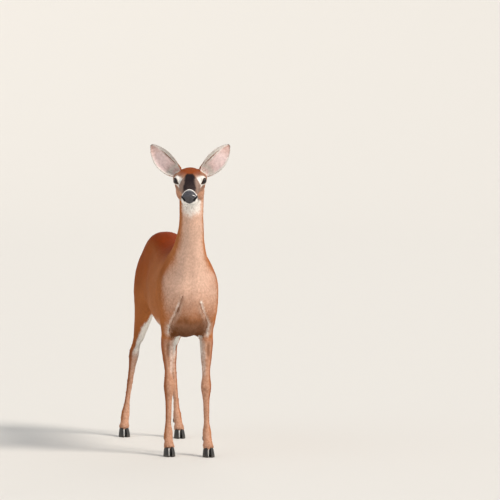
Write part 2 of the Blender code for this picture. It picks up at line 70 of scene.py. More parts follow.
def softNoise(points, size, seed=0):  # smooth values of -1 to 1 in lumps about this size
    cell = np.asarray(points) / size + 500.0
    base = np.floor(cell).astype(np.int64)
    part = cell - base
    part = part * part * (3 - 2 * part)
    total = np.zeros(len(cell))
    for corner in range(8):
        step = np.array([corner & 1, corner >> 1 & 1, corner >> 2 & 1])
        key = ((base + step) * [73856093, 19349663, 83492791]).sum(1) + seed * 265443
        key = (key ^ (key >> 13)) * 1274126177 & 0x7FFFFFFF
        key = (key ^ (key >> 15)) & 0xFFFF
        total += np.prod(np.where(step == 1, part, 1 - part), axis=1) * (key / 32767.5 - 1)
    return total


def meshArrays(mesh):  # corner points and triangles of a mesh
    points = np.empty(len(mesh.vertices) * 3)
    mesh.vertices.foreach_get("co", points)
    mesh.calc_loop_triangles()
    triangles = np.empty(len(mesh.loop_triangles) * 3, np.int32)
    mesh.loop_triangles.foreach_get("vertices", triangles)
    return points.reshape(-1, 3), triangles.reshape(-1, 3)


def edgesOf(mesh):
    edges = np.empty(len(mesh.edges) * 2, np.int32)
    mesh.edges.foreach_get("vertices", edges)
    return edges.reshape(-1, 2)


def normalsOf(points, triangles):
    a, b, c = (points[triangles[:, i]] for i in range(3))
    flat = np.cross(b - a, c - a)
    total = np.zeros_like(points)
    for axis in range(3):
        for corner in range(3):
            total[:, axis] += np.bincount(triangles[:, corner], flat[:, axis], len(points))
    return unit(total)


def newObject(name, points, faces, smooth=True):
    mesh = bpy.data.meshes.new(name)
    mesh.vertices.add(len(points))
    mesh.vertices.foreach_set("co", np.asarray(points, np.float32).ravel())
    if isinstance(faces, np.ndarray):
        corners, starts = faces.ravel(), np.arange(len(faces)) * faces.shape[1]
    else:
        sizes = [len(f) for f in faces]
        corners = np.fromiter((i for f in faces for i in f), np.int32)
        starts = np.concatenate(([0], np.cumsum(sizes)[:-1]))
    mesh.loops.add(len(corners))
    mesh.loops.foreach_set("vertex_index", corners.astype(np.int32))
    mesh.polygons.add(len(starts))
    mesh.polygons.foreach_set("loop_start", starts.astype(np.int32))
    mesh.update(calc_edges=True)
    mesh.polygons.foreach_set("use_smooth", np.full(len(starts), smooth))
    obj = bpy.data.objects.new(name, mesh)
    scene.collection.objects.link(obj)
    return obj


def relax(points, edges, rounds, share=None, pull=0.5, push=-0.52):  # smooths, and the push keeps the volume
    count = np.maximum(np.bincount(edges.ravel(), minlength=len(points)), 1)[:, None]
    push = push if np.isscalar(push) else push[:, None]
    for amount in (pull, push) * rounds:
        if np.isscalar(amount) and amount == 0:
            continue
        total = np.empty_like(points)
        for axis in range(3):
            column = points[:, axis]
            total[:, axis] = (np.bincount(edges[:, 0], column[edges[:, 1]], len(points))
                              + np.bincount(edges[:, 1], column[edges[:, 0]], len(points)))
        step = (total / count - points) * amount
        points = points + (step if share is None else step * share[:, None])
    return points


def nearPath(points, path):  # distance to a line through these places, and how far along it, 0 to 1
    path = np.asarray(path, float)
    best, along = np.full(len(points), 9.0), np.zeros(len(points))
    for i in range(len(path) - 1):
        a, way = path[i], path[i + 1] - path[i]
        t = np.clip((points - a) @ way / (way @ way), 0, 1)
        gap = np.linalg.norm(points - a - t[:, None] * way, axis=1)
        nearer = gap < best
        best[nearer], along[nearer] = gap[nearer], ((i + t) / (len(path) - 1))[nearer]
    return best, along


def smoothPath(places, count=24):  # Catmull-Rom through the places
    places = np.asarray(places, float)
    padded = np.vstack((2 * places[0] - places[1], places, 2 * places[-1] - places[-2]))
    out = []
    for t in np.linspace(0, len(places) - 1 - 1e-9, count):
        i, f = int(t), t - int(t)
        a, b, c, d = padded[i:i + 4]
        out.append(0.5 * (2 * b + (c - a) * f + (2 * a - 5 * b + 4 * c - d) * f ** 2 + (3 * b - a - 3 * c + d) * f ** 3))
    return np.array(out)


# ---- camera, floor and lights

view = {"place": (-1.9611, -14.4064, 1.6), "turn": -9.0, "tilt": 3.01, "lens": 251.2}
studio = {
    "floor": "#dad7d1", "air": "#eef1f5", "airStrength": 0.58, "flat": 18, "sweep": 30, "rise": 16,
    # wide soft lamps, far off, so that the floor is evenly lit: where each stands from her, its strength and width
    "key": {"from": (0.72, -0.62, 0.78), "strength": 2.8, "spread": 20, "colour": "#fff7ee"},
    "rim": {"from": (0.35, 0.85, 0.60), "strength": 0.45, "spread": 40, "colour": "#ffffff"},
    "fill": {"from": (-0.85, -0.30, 0.55), "strength": 0.35, "spread": 60, "colour": "#f2f6ff"},
}

camera = bpy.data.objects.new("camera", bpy.data.cameras.new("camera"))
scene.collection.objects.link(camera)
camera.location = view["place"]
camera.rotation_euler = (math.radians(90 - view["tilt"]), 0, math.radians(view["turn"]))
camera.data.lens = view["lens"]
camera.data.clip_end = 60
scene.camera = camera
scene.view_settings.view_transform = "Standard"

for name in ("key", "rim", "fill"):
    plan = studio[name]
    lamp = bpy.data.lights.new(name, "SUN")
    lamp.energy, lamp.angle = plan["strength"], math.radians(plan["spread"])
    lamp.color = linearColour(plan["colour"])[:3]
    lampObject = bpy.data.objects.new(name, lamp)
    lampObject.rotation_euler = (-Vector(plan["from"])).to_track_quat("-Z", "Y").to_euler()
    scene.collection.objects.link(lampObject)

air = bpy.data.worlds.new("studio air")
air.use_nodes = True
air.node_tree.nodes["Background"].inputs["Color"].default_value = linearColour(studio["air"])
air.node_tree.nodes["Background"].inputs["Strength"].default_value = studio["airStrength"]
scene.world = air

# ---- the skin's plan, with the head's own frame: its length runs along -Y from the poll

headPlan = {"poll": (0.0166, -0.3713, 1.188), "turn": -9, "pitch": 17}
headPlace = (Matrix.Translation(headPlan["poll"]) @ Matrix.Rotation(math.radians(headPlan["turn"]), 4, "Z")
             @ Matrix.Rotation(math.radians(headPlan["pitch"]), 4, "X"))
headTurn, headPoll = np.array(headPlace.to_3x3()), np.array(headPlan["poll"])


def toHead(points):
    return (np.asarray(points) - headPoll) @ headTurn


def fromHead(points):
    return np.asarray(points) @ headTurn.T + headPoll


earPlan = {
    "root": (0.0520, -0.018, -0.011), "along": (0.695, 0.10, 0.710), "facing": (0.16, -0.98, 0.10),
    "length": 0.153, "halfWidth": 0.0540, "curlBase": 250, "curlLoss": 185,
    "moulded": 0.0024,  # half thickness while the skin is cast, thinned afterwards
    "thin": 0.0011,
}


def earAxes(side):
    along = unit(np.array(earPlan["along"]) * [side, 1, 1])
    facing = np.array(earPlan["facing"]) * [side, 1, 1]
    facing = unit(facing - along * (facing @ along))
    return np.cross(along, facing), facing, along


def earSurface(side, u, v, offset):  # u runs to the tip, v across from -1 to 1; head frame
    across, facing, along = earAxes(side)
    half = earPlan["halfWidth"] * (0.84 + 0.16 * np.sin(np.pi * u)) * (1 - u ** 2.9) ** 0.78
    curl = np.radians(earPlan["curlBase"] - earPlan["curlLoss"] * u ** 0.55)
    radius = 2 * half / curl
    angle = v * curl / 2
    lean = 0.012 * np.sin(np.pi * u) - 0.010 * u * u
    deep = -np.cos(angle) * (radius + offset) + radius * np.cos(curl * 0.30) + lean
    side_ = np.sin(angle) * (radius + offset)
    root = np.array(earPlan["root"]) * [side, 1, 1]
    return (root + along * (u * earPlan["length"])[..., None] + across * side_[..., None]
            + facing * deep[..., None])


def earShell(side, rows=44, columns=36):  # closed cup, thick enough to cast
    u, v = np.meshgrid(0.985 * np.linspace(0, 1, rows) ** 0.9, np.linspace(-1, 1, columns), indexing="ij")
    half = earPlan["moulded"]
    back, front = earSurface(side, u, v, half), earSurface(side, u, v, -half)
    points = np.concatenate((back.reshape(-1, 3), front.reshape(-1, 3)))
    grid = np.arange(rows * columns).reshape(rows, columns)
    other = grid + rows * columns
    quads = [np.stack((grid[:-1, :-1], grid[1:, :-1], grid[1:, 1:], grid[:-1, 1:]), -1).reshape(-1, 4),
             np.stack((other[:-1, :-1], other[:-1, 1:], other[1:, 1:], other[1:, :-1]), -1).reshape(-1, 4)]
    for line, mate in ((grid[:, 0], other[:, 0]), (other[:, -1], grid[:, -1]), (grid[-1], other[-1]), (other[0], grid[0])):
        quads.append(np.stack((line[:-1], mate[:-1], mate[1:], line[1:]), -1))
    return fromHead(points), np.concatenate(quads)


skinPlan = {
    "voxel": 0.0092, "zoom": 4.4, "reach": 0.205, "zoomCentre": (0, -0.085, 0.012),
    "grow": 0.0009,  # each solid swells this much so that the cuts close
    "smoothing": 38,
    "coatDepth": {"trunk": 0.0032, "neck": 0.0030, "head": 0.0014, "ear": 0.0, "thigh": 0.0030, "forearm": 0.0022,
                  "fore_shank": 0.0010, "hind_shank": 0.0012, "tail": 0.0035},
}
fleshNodes = [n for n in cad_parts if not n.startswith(("eye", "nose", "hoof", "dewclaw"))]
eyeCentre = {s: np.array((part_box("eye_" + s)[0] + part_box("eye_" + s)[1]) / 2) for s in sides}
eyeRadius = (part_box("eye_left")[1].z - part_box("eye_left")[0].z) / 2
zoomCentre = fromHead([skinPlan["zoomCentre"]])[0]


def magnify(points):  # swells space round the head, so that one even remesh is finest there
    away = points - zoomCentre
    far = np.linalg.norm(away, axis=1, keepdims=True)
    reach, zoom = skinPlan["reach"], skinPlan["zoom"]
    return zoomCentre + away * np.where(far < reach, zoom, (far + reach * (zoom - 1)) / np.maximum(far, 1e-9))


def shrinkBack(points):
    away = points - zoomCentre
    far = np.linalg.norm(away, axis=1, keepdims=True)
    reach, zoom = skinPlan["reach"], skinPlan["zoom"]
    return zoomCentre + away * np.where(far < reach * zoom, 1 / zoom, (far - reach * (zoom - 1)) / np.maximum(far, 1e-9))


def splitTriangles(points, triangles):  # each into four
    a, b, c = (points[triangles[:, i]] for i in range(3))
    ab, bc, ca = (a + b) / 2, (b + c) / 2, (c + a) / 2
    corners = np.stack((a, ab, ca, ab, b, bc, ca, bc, c, ab, bc, ca), 1).reshape(-1, 3)
    return corners, np.arange(len(corners)).reshape(-1, 3)


def largestPart(points, edges, faces):
    label = np.arange(len(points))
    while True:
        low = np.minimum(label[edges[:, 0]], label[edges[:, 1]])
        new = label.copy()
        np.minimum.at(new, edges[:, 0], low)
        np.minimum.at(new, edges[:, 1], low)
        new = new[new]
        if (new == label).all():
            break
        label = new
    kept = label == np.bincount(label).argmax()
    order = np.cumsum(kept) - 1
    return points[kept], order[faces[kept[faces[:, 0]]]]


def castSkin():
    points, triangles, count = [], [], 0
    for name in fleshNodes + ["nose_pad", "eye_left", "eye_right"]:
        if name.startswith("ear"):
            p, quads = earShell(sides[name[4:]])
            t = np.concatenate((quads[:, [0, 1, 2]], quads[:, [0, 2, 3]]))
        else:
            p, t = meshArrays(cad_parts[name].data)
            grow = 0 if name.startswith("eye") else skinPlan["grow"]
            p = p + normalsOf(p, t) * grow
            for i in range(2):
                p, t = splitTriangles(p, t)
        points.append(magnify(p))
        triangles.append(t + count)
        count += len(p)
    soup = newObject("castSoup", np.concatenate(points), np.concatenate(triangles).astype(np.int32))
    remesh = soup.modifiers.new("cast", "REMESH")
    remesh.mode, remesh.voxel_size = "VOXEL", skinPlan["voxel"]
    made = bpy.data.meshes.new_from_object(soup.evaluated_get(bpy.context.evaluated_depsgraph_get()))
    bpy.data.objects.remove(soup)
    cast = np.empty(len(made.vertices) * 3)
    made.vertices.foreach_get("co", cast)
    quads = np.empty(len(made.polygons) * 4, np.int32)
    made.polygons.foreach_get("vertices", quads)
    cast, quads = largestPart(cast.reshape(-1, 3), edgesOf(made), quads.reshape(-1, 4))
    return shrinkBack(cast), quads


skinPoints, skinQuads = castSkin()
print("cast the skin:", len(skinPoints), "points,", len(skinQuads), "quads")

# ---- shaping the skin

def nearestNode(points):  # which flesh node each point belongs to
    soupPoints, soupFaces, owner, count = [], [], [], 0
    for i, name in enumerate(fleshNodes):
        p, t = meshArrays(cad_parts[name].data)
        soupPoints += p.tolist()
        soupFaces += (t + count).tolist()
        owner += [i] * len(t)
        count += len(p)
    tree = BVHTree.FromPolygons(soupPoints, soupFaces)
    return np.array([owner[tree.find_nearest(p)[2]] for p in points.tolist()])


def share(names, labels):  # 1 where a point belongs to one of these nodes
    wanted = [i for i, n in enumerate(fleshNodes) if n.startswith(names)]
    return np.isin(labels, wanted).astype(float)


def soften(values, edges, rounds):  # lets a per-point value run into its neighbours
    count = np.maximum(np.bincount(edges.ravel(), minlength=len(values)), 1)
    values = values.astype(float)
    for i in range(rounds):
        if values.ndim == 1:
            total = np.bincount(edges[:, 0], values[edges[:, 1]], len(values)) + np.bincount(edges[:, 1], values[edges[:, 0]], len(values))
            values = (values + total / count) / 2
        else:
            values = np.stack([soften(values[:, k], edges, 1) for k in range(values.shape[1])], 1)
    return values


def thinEars(points):  # the cups were cast thick: brings both faces towards the middle
    for side in sides.values():
        u, v = np.meshgrid(np.linspace(0.0, 0.985, 150), np.linspace(-1, 1, 91), indexing="ij")
        middle = fromHead(earSurface(side, u, v, 0.0).reshape(-1, 3))
        outward = unit(fromHead(earSurface(side, u, v, 0.001).reshape(-1, 3)) - middle)
        tree = KDTree(len(middle))
        for i, p in enumerate(middle.tolist()):
            tree.insert(p, i)
        tree.balance()
        local = toHead(points)
        root = np.array(earPlan["root"]) * [side, 1, 1]
        near = np.where(np.linalg.norm(local - root - earAxes(side)[2] * 0.08, axis=1) < 0.115)[0]
        for i in near:
            place, k, gap = tree.find(points[i])
            if gap > 0.0048:
                continue
            uHere, vHere = u.flat[k], v.flat[k]
            away = points[i] - middle[k]
            out = outward[k] * (away @ outward[k])
            keep = earPlan["thin"] * (1.25 - 0.5 * uHere) / earPlan["moulded"]
            keep = 1 - (1 - keep) * min(max((uHere - 0.03) / 0.15, 0), 1)
            atRim = abs(vHere) > 0.985 or uHere > 0.98
            points[i] = middle[k] + (away * keep if atRim else away - out * (1 - keep))
    return points


def refined(points, faces, wanted):  # splits the faces whose every corner is wanted, leaving no gaps
    bm = bmesh.new()
    for p in points.tolist():
        bm.verts.new(p)
    bm.verts.ensure_lookup_table()
    for f in faces.tolist():
        bm.faces.new([bm.verts[i] for i in f])
    bm.verts.index_update()
    edges = [e for e in bm.edges if wanted[e.verts[0].index] and wanted[e.verts[1].index]]
    bmesh.ops.subdivide_edges(bm, edges=edges, cuts=1, use_grid_fill=True)
    bmesh.ops.triangulate(bm, faces=bm.faces[:])
    bm.verts.index_update()
    newPoints = np.array([v.co[:] for v in bm.verts])
    newFaces = np.array([[v.index for v in f.verts] for f in bm.faces], np.int32)
    bm.free()
    return newPoints, newFaces


def edgesOfTriangles(triangles):
    pairs = np.sort(np.concatenate((triangles[:, :2], triangles[:, 1:], triangles[:, [2, 0]])), axis=1)
    return np.unique(pairs, axis=0)


def thinned(points, faces, weight, ratio):  # fewer faces where the form is plain
    obj = newObject("thinned", points, faces)
    group = obj.vertex_groups.new(name="plain")
    for level in np.unique(np.round(weight, 1)):
        if level > 0:
            group.add(np.where(np.round(weight, 1) == level)[0].tolist(), float(level), "REPLACE")
    thin = obj.modifiers.new("thin", "DECIMATE")
    thin.ratio, thin.vertex_group, thin.vertex_group_factor = ratio, "plain", 6.0
    made = bpy.data.meshes.new_from_object(obj.evaluated_get(bpy.context.evaluated_depsgraph_get()))
    p, t = meshArrays(made)
    bpy.data.objects.remove(obj)
    return p, t


edges = np.concatenate((skinQuads[:, :2], skinQuads[:, 1:3], skinQuads[:, 2:], skinQuads[:, [3, 0]]))
edges = np.unique(np.sort(edges, axis=1), axis=0)
labels = nearestNode(skinPoints)
legs = share(("fore_shank", "hind_shank"), labels)
earOrHead = share(("ear", "head"), labels)
slender = soften(np.clip(legs + share(("ear", "tail", "forearm"), labels), 0, 1), edges, 10)
skinPoints = relax(skinPoints, edges, skinPlan["smoothing"], 1 - 0.5 * slender, push=-0.52 * np.clip(slender * 1.3, 0, 1))
skinPoints = thinEars(skinPoints)
skinPoints = relax(skinPoints, edges, 5, share(("ear",), labels) * 0.9)
skinPoints, skinFaces = thinned(skinPoints, skinQuads, soften(share(("trunk", "thigh", "neck"), labels), edges, 6), 0.74)
print("smoothed the skin:", len(skinFaces), "triangles")


def swell(points, normals, places, amount, radii):  # a soft rise, or a hollow where the amount is negative
    for place in places:
        gap = (points - place) / radii
        points += normals * (amount * np.exp(-(gap ** 2).sum(1)))[:, None]


def laid(path, points):  # each place of a path moved to the nearest point of the skin
    path = np.array([points[((points - place) ** 2).sum(1).argmin()] for place in path])
    for again in range(3):
        path[1:-1] = (path[:-2] + 2 * path[1:-1] + path[2:]) / 4
    return path


def ridge(points, normals, path, amount, width, taper=True):  # a rise or groove along a path
    path = laid(path, points)
    gap, along = nearPath(points, path)
    ends = np.sin(np.pi * np.clip(along, 0.04, 0.96)) ** 0.5 if taper else 1.0
    points += normals * (amount * np.exp(-(gap / width) ** 2) * ends)[:, None]


def bothSides(places, middle=0.0166):  # a list of places on her left, and the same on her right
    left = np.array(places, float)
    return left, (left - [middle, 0, 0]) * [-1, 1, 1] + [middle, 0, 0]


# rises and hollows of the body, on her left and mirrored: places, amount, radii
bodyForms = {
    "hip bone": ((0.098, 0.345, 0.835), 0.0060, (0.030, 0.035, 0.030)),
    "pin bone": ((0.070, 0.545, 0.800), 0.0050, (0.030, 0.030, 0.035)),
    "flank hollow": ((0.125, 0.285, 0.745), -0.0110, (0.05, 0.055, 0.060)),
    "under loin": ((0.130, 0.225, 0.640), -0.0040, (0.05, 0.070, 0.050)),
    "behind shoulder": ((0.130, -0.120, 0.690), -0.0060, (0.05, 0.035, 0.100)),
    "before shoulder": ((0.110, -0.255, 0.800), -0.0050, (0.05, 0.030, 0.070)),
    "shoulder muscle": ((0.125, -0.215, 0.690), 0.0040, (0.05, 0.045, 0.060)),
    "upper arm": ((0.115, -0.235, 0.570), 0.0040, (0.05, 0.040, 0.050)),
    "thigh muscle": ((0.120, 0.455, 0.660), 0.0050, (0.05, 0.050, 0.090)),
    "rib barrel": ((0.135, 0.060, 0.640), 0.0050, (0.05, 0.120, 0.090)),
    "last ribs": ((0.130, 0.185, 0.690), 0.0020, (0.05, 0.022, 0.070)),
    "stifle": ((0.105, 0.330, 0.585), 0.0050, (0.04, 0.034, 0.040)),
}
# lines over the body: path, amount, width
bodyLines = {
    "groove behind thigh": (((0.110, 0.530, 0.745), (0.115, 0.520, 0.660), (0.105, 0.505, 0.580)), -0.0030, 0.013),
    "shoulder blade": (((0.060, -0.135, 0.835), (0.100, -0.215, 0.745), (0.118, -0.275, 0.665)), 0.0022, 0.013),
    "elbow fold": (((0.115, -0.175, 0.600), (0.112, -0.180, 0.555), (0.100, -0.190, 0.515)), -0.0045, 0.010),
    "flank fold": (((0.120, 0.225, 0.560), (0.125, 0.270, 0.600), (0.120, 0.300, 0.650)), 0.0035, 0.018),
    "hamstring": (((0.088, 0.540, 0.520), (0.082, 0.545, 0.450), (0.080, 0.540, 0.395)), 0.0020, 0.008),
}
creases = {  # from the point of the chest down to each foreleg
    "right": ((-0.0162, -0.3826, 0.6806), (-0.0241, -0.3798, 0.6561), (-0.0314, -0.3735, 0.6313), (-0.0386, -0.3659, 0.6104),
              (-0.0479, -0.3434, 0.5845), (-0.0565, -0.3152, 0.558), (-0.0596, -0.292, 0.5318), (-0.0584, -0.2678, 0.5135)),
    "left": ((0.0489, -0.3866, 0.6639), (0.0576, -0.3832, 0.6391), (0.0669, -0.3755, 0.6181), (0.0766, -0.3654, 0.5969),
             (0.0880, -0.3431, 0.5788), (0.0971, -0.3175, 0.5564), (0.0967, -0.2977, 0.5345), (0.0950, -0.2666, 0.5075)),
}
whorl = np.array((0.0162, -0.3856, 0.6764))


def legMiddle(node, height):
    p = meshArrays(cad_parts[node].data)[0]
    ring = p[np.abs(p[:, 2] - height) < 0.03]
    return np.array((ring[:, 0].mean(), ring[:, 1].min(), height))


forearmHollow = {side: legMiddle("forearm_" + side, 0.44) for side in sides}


def legPath(foot, heights):  # the middle of a leg's front, from its cannon bone's own box
    name = foot.replace("_", "_shank_")
    p = meshArrays(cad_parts[name].data)[0]
    path = []
    for z in heights:
        near = p[np.abs(p[:, 2] - z) < 0.03]
        path.append(near.mean(0) if len(near) else p.mean(0))
    return np.array(path) * [1, 1, 0] + np.array([[0, 0, z] for z in heights])


def shapeBody(points, faces):
    edges = edgesOfTriangles(faces)
    labels = nearestNode(points)
    # the blade's hard back edge, the notch under the throat and the jaw's back edges run out into their surroundings
    jaw = np.zeros(len(points))
    for side in bothSides([(0.050, -0.024, -0.104)], 0.0):
        jaw = np.maximum(jaw, np.exp(-(((toHead(points) - side[0]) / (0.030, 0.030, 0.036)) ** 2).sum(1)))
    corner = np.exp(-(((toHead(points) - (0, -0.058, -0.114)) / (0.050, 0.030, 0.024)) ** 2).sum(1))
    points = relax(points, edges, 60, ramp(0.10, 0.60, np.maximum(jaw, corner)), push=-0.15)
    worst = np.zeros(len(points))
    for side in bothSides([(0.125, -0.165, 0.66)]):
        worst = np.maximum(worst, np.exp(-(((points - side[0]) / (0.06, 0.055, 0.16)) ** 2).sum(1)))
    notch = np.exp(-(((points - (0.0166, -0.37, 0.80)) / (0.11, 0.05, 0.07)) ** 2).sum(1))
    rump = np.exp(-(((points - (0.0166, 0.36, 0.66)) / (0.16, 0.16, 0.13)) ** 2).sum(1))
    points = relax(points, edges, 30, np.clip(worst + notch + 0.7 * rump, 0, 1), push=-0.40)
    depth = np.zeros(len(points))
    for start, value in skinPlan["coatDepth"].items():
        depth += share((start,), labels) * value
    earRoots = share(("ear",), labels)
    depth = soften(depth, edges, 12) * (1 - earRoots)
    points = points - normalsOf(points, faces) * depth[:, None]
    normals = normalsOf(points, faces)
    outside = np.clip(np.abs(normals[:, 0]) * 1.6, 0, 1)[:, None] * normals
    for place, amount, radii in bodyForms.values():
        swell(points, outside, [s[0] for s in bothSides([place])], amount, np.array(radii))
    for path, amount, width in bodyLines.values():
        for side in bothSides(path):
            ridge(points, normals, smoothPath(side), amount, width)
    for path in creases.values():
        ridge(points, normals, smoothPath(path), -0.0052, 0.0085)
        inward = np.array(path) + [0, 0, -0.004]
        ridge(points, normals, smoothPath(inward + (whorl - inward) * 0.10), 0.0026, 0.010)
    spine = [(0.0166, -0.16, 0.868), (0.0266, 0.0, 0.86), (0.0270, 0.2, 0.865), (0.0200, 0.38, 0.905)]
    ridge(points, normals, smoothPath(spine), 0.0030, 0.020)
    sternum = [(0.0166, -0.37, 0.60), (0.0166, -0.335, 0.545), (0.018, -0.25, 0.497), (0.020, -0.10, 0.484)]
    ridge(points, normals, smoothPath(sternum), 0.0045, 0.022)
    ridge(points, normals, smoothPath([(0.0166, -0.385, 0.69), (0.0166, -0.374, 0.77), (0.018, -0.385, 0.86)]), -0.0045, 0.016)
    # knees stand out from the leg above them, and a hollow runs down each forearm's front
    fore = soften(share(("forearm", "fore_shank"), labels), edges, 4)
    knee = 0.0020 * np.exp(-((points[:, 2] - 0.285) / 0.024) ** 2) - 0.0020 * np.exp(-((points[:, 2] - 0.352) / 0.030) ** 2)
    points += normals * (knee * fore)[:, None]
    for place in forearmHollow.values():
        swell(points, normals * np.clip(-normals[:, 1:2], 0, 1), [place], -0.0034, np.array((0.010, 0.030, 0.045)))
    for foot in ("fore_left", "fore_right", "hind_left", "hind_right"):
        # tendons behind the cannon bone, with a groove on each side between bone and tendon
        path = legPath(foot, (0.22, 0.19, 0.16, 0.13))
        for across in (-1, 1):
            ridge(points, normals, path + [across * 0.013, 0.004, 0], -0.0016, 0.0055)
    lumps = softNoise(points, 0.055, 3) * 0.0011 + softNoise(points, 0.022, 4) * 0.0005
    points = points + normals * (lumps * (1 - 0.7 * share(("fore_shank", "hind_shank", "head", "ear"), labels)))[:, None]
    return points


skinPoints = shapeBody(skinPoints, skinFaces)
print("shaped the body")

# ---- the head: lids, nostrils, mouth and ear canals

eyePlan = {
    "gaze": (0.68, -0.72, 0.12), "tiltDown": 0.30,  # the inner corner lies lower
    "middle": 0.03, "halfLength": 0.82, "upper": 0.57, "lower": 0.49,  # of the opening, in eyeball radii
    "lid": 0.0013, "hug": 0.0050, "blend": 0.0200, "crease": 0.0060,
}


def eyeFrame(name):  # inner-corner, upward and outward directions of one eye
    side = sides[name]
    gaze = unit(headTurn @ (np.array(eyePlan["gaze"]) * [side, 1, 1]))
    forward = headTurn @ np.array((0, -1.0, -eyePlan["tiltDown"]))
    inner = unit(forward - gaze * (forward @ gaze))
    up = np.cross(gaze, inner)
    up = up if up[2] > 0 else -up
    return inner, up, gaze


def lidHeights(x):  # upper and lower edge of the opening across its length
    t = np.clip((x - eyePlan["middle"]) / eyePlan["halfLength"], -1, 1)
    roundEnd, pointEnd = (1 - np.abs(t) ** 2.5) ** 0.72, (1 - np.abs(t) ** 1.75) ** 1.05
    form = np.where(t < 0, roundEnd, pointEnd)
    slope = -0.05 * t
    return eyePlan["upper"] * form + slope, -eyePlan["lower"] * form + slope


def lidRim(name, count=140):  # the opening's edge as directions from the eyeball's middle
    inner, up, gaze = eyeFrame(name)
    phase = np.linspace(0, 2 * np.pi, count, endpoint=False)
    x = eyePlan["middle"] + eyePlan["halfLength"] * np.cos(phase) * 0.9995
    high, low = lidHeights(x)
    y = np.where(phase < np.pi, high, low)
    out = np.sqrt(np.maximum(1 - x * x - y * y, 0.02))
    return unit(x[:, None] * inner + y[:, None] * up + out[:, None] * gaze)


def outsideLid(name, points):  # distance outside the opening's edge, less than 0 within it
    inner, up, gaze = eyeFrame(name)
    away = unit(points - eyeCentre[name])
    rim = lidRim(name, 400)
    tree = KDTree(len(rim))
    for i, p in enumerate(rim.tolist()):
        tree.insert(p, i)
    tree.balance()
    gap = np.array([tree.find(p)[2] for p in away.tolist()])
    x, y = away @ inner, away @ up
    high, low = lidHeights(x)
    within = (y < high) & (y > low) & (np.abs(x - eyePlan["middle"]) < eyePlan["halfLength"]) & (away @ gaze > 0)
    return np.where(within, -gap, gap) * eyeRadius


def layLids(points, faces):
    normals = normalsOf(points, faces)
    for name in sides:
        away = points - eyeCentre[name]
        far = np.linalg.norm(away, axis=1)
        inner, up, gaze = eyeFrame(name)
        near = np.where((far < 0.036) & (away @ gaze > -0.004))[0]
        out = outsideLid(name, points[near])
        way = away[near] / far[near, None]
        above = way @ up
        lid = eyeRadius + 0.0004 + eyePlan["lid"] * ramp(0, 0.0016, out) + 0.0006 * ramp(0.0016, 0.006, out)
        lid += -0.0008 * np.exp(-((out - eyePlan["crease"]) / 0.0012) ** 2) * ramp(0.0, 0.3, above)
        lid += 0.0007 * np.exp(-((out - 0.0038) / 0.0018) ** 2) * ramp(-0.1, 0.3, above)
        lid += -0.0005 * np.exp(-((out - 0.0068) / 0.0016) ** 2) * ramp(-0.1, -0.4, above)
        lid = np.where(out < 0, eyeRadius + 0.0004 - 0.0040 * ramp(0, -0.0011, out), lid)
        weight = 1 - ramp(eyePlan["hug"], eyePlan["blend"], out)
        weight *= np.maximum(ramp(0.10, 0.55, (normals[near] * way).sum(1)), ramp(0.0045, 0.0025, out))
        mixed = far[near] * (1 - weight) + lid * weight
        points[near] = eyeCentre[name] + way * mixed[:, None]
    return points


headForms = {  # rises and hollows in the head's frame, her left: place, amount, radii
    "brow": ((0.047, -0.104, 0.010), 0.0022, (0.014, 0.020, 0.010)),
    "temple hollow": ((0.058, -0.062, 0.004), -0.0020, (0.016, 0.018, 0.014)),
    "cheek bone": ((0.055, -0.110, -0.046), 0.0020, (0.014, 0.034, 0.010)),
    "below cheek bone": ((0.047, -0.132, -0.060), -0.0022, (0.016, 0.030, 0.012)),
    "jaw muscle": ((0.056, -0.064, -0.072), 0.0020, (0.018, 0.026, 0.026)),
    "muzzle hollow": ((0.034, -0.172, -0.036), -0.0016, (0.012, 0.024, 0.014)),
    "nostril wing": ((0.026, -0.254, -0.034), 0.0022, (0.008, 0.010, 0.010)),
    "lip": ((0.026, -0.236, -0.060), 0.0016, (0.010, 0.018, 0.010)),
    "nose lobe": ((0.0085, -0.2700, -0.0400), 0.0011, (0.0055, 0.008, 0.0100)),
    "nose shelf": ((0.0060, -0.2440, -0.0165), 0.0010, (0.0100, 0.006, 0.008)),
    "temple bridge": ((0.030, -0.150, 0.012), 0.0010, (0.010, 0.030, 0.008)),
}
headLines = {  # grooves and ridges in the head's frame, her left: path, amount, width
    "tear pit": (((0.0425, -0.1290, -0.0175), (0.0400, -0.1365, -0.0215), (0.0375, -0.1455, -0.0265)), -0.0024, 0.0022),
    "tear pit lip": (((0.0410, -0.1350, -0.0150), (0.0385, -0.1440, -0.0205), (0.0360, -0.1520, -0.0245)), 0.0008, 0.0025),
    "face vein": (((0.040, -0.150, -0.050), (0.046, -0.118, -0.066), (0.050, -0.096, -0.088)), 0.0006, 0.0022),
    "jaw edge": (((0.022, -0.190, -0.083), (0.032, -0.130, -0.106), (0.038, -0.080, -0.118)), 0.0014, 0.0060),
}
nostrilPlan = {"centre": (0.0235, -0.2600, -0.0405), "depth": 0.0080,
               "comma": ((0.0190, -0.2660, -0.0455), (0.0225, -0.2640, -0.0400), (0.0270, -0.2565, -0.0360), (0.0300, -0.2500, -0.0365)),
               "width": 0.0029}
# the closed mouth: its height at each distance along the head, and its corner
mouthPlan = {"along": (-0.275, -0.264, -0.250, -0.228, -0.205, -0.186), "height": (-0.0668, -0.0665, -0.0645, -0.0605, -0.0585, -0.0600),
             "corner": -0.190, "depth": 0.0020, "width": 0.0014, "lips": 0.0011}


def mouthGap(local):  # how far a point is above the mouth's line, and the distance from that line
    above = local[:, 2] - np.interp(local[:, 1], mouthPlan["along"], mouthPlan["height"])
    past = np.maximum(local[:, 1] - mouthPlan["corner"], 0)
    return above, np.hypot(above, past)


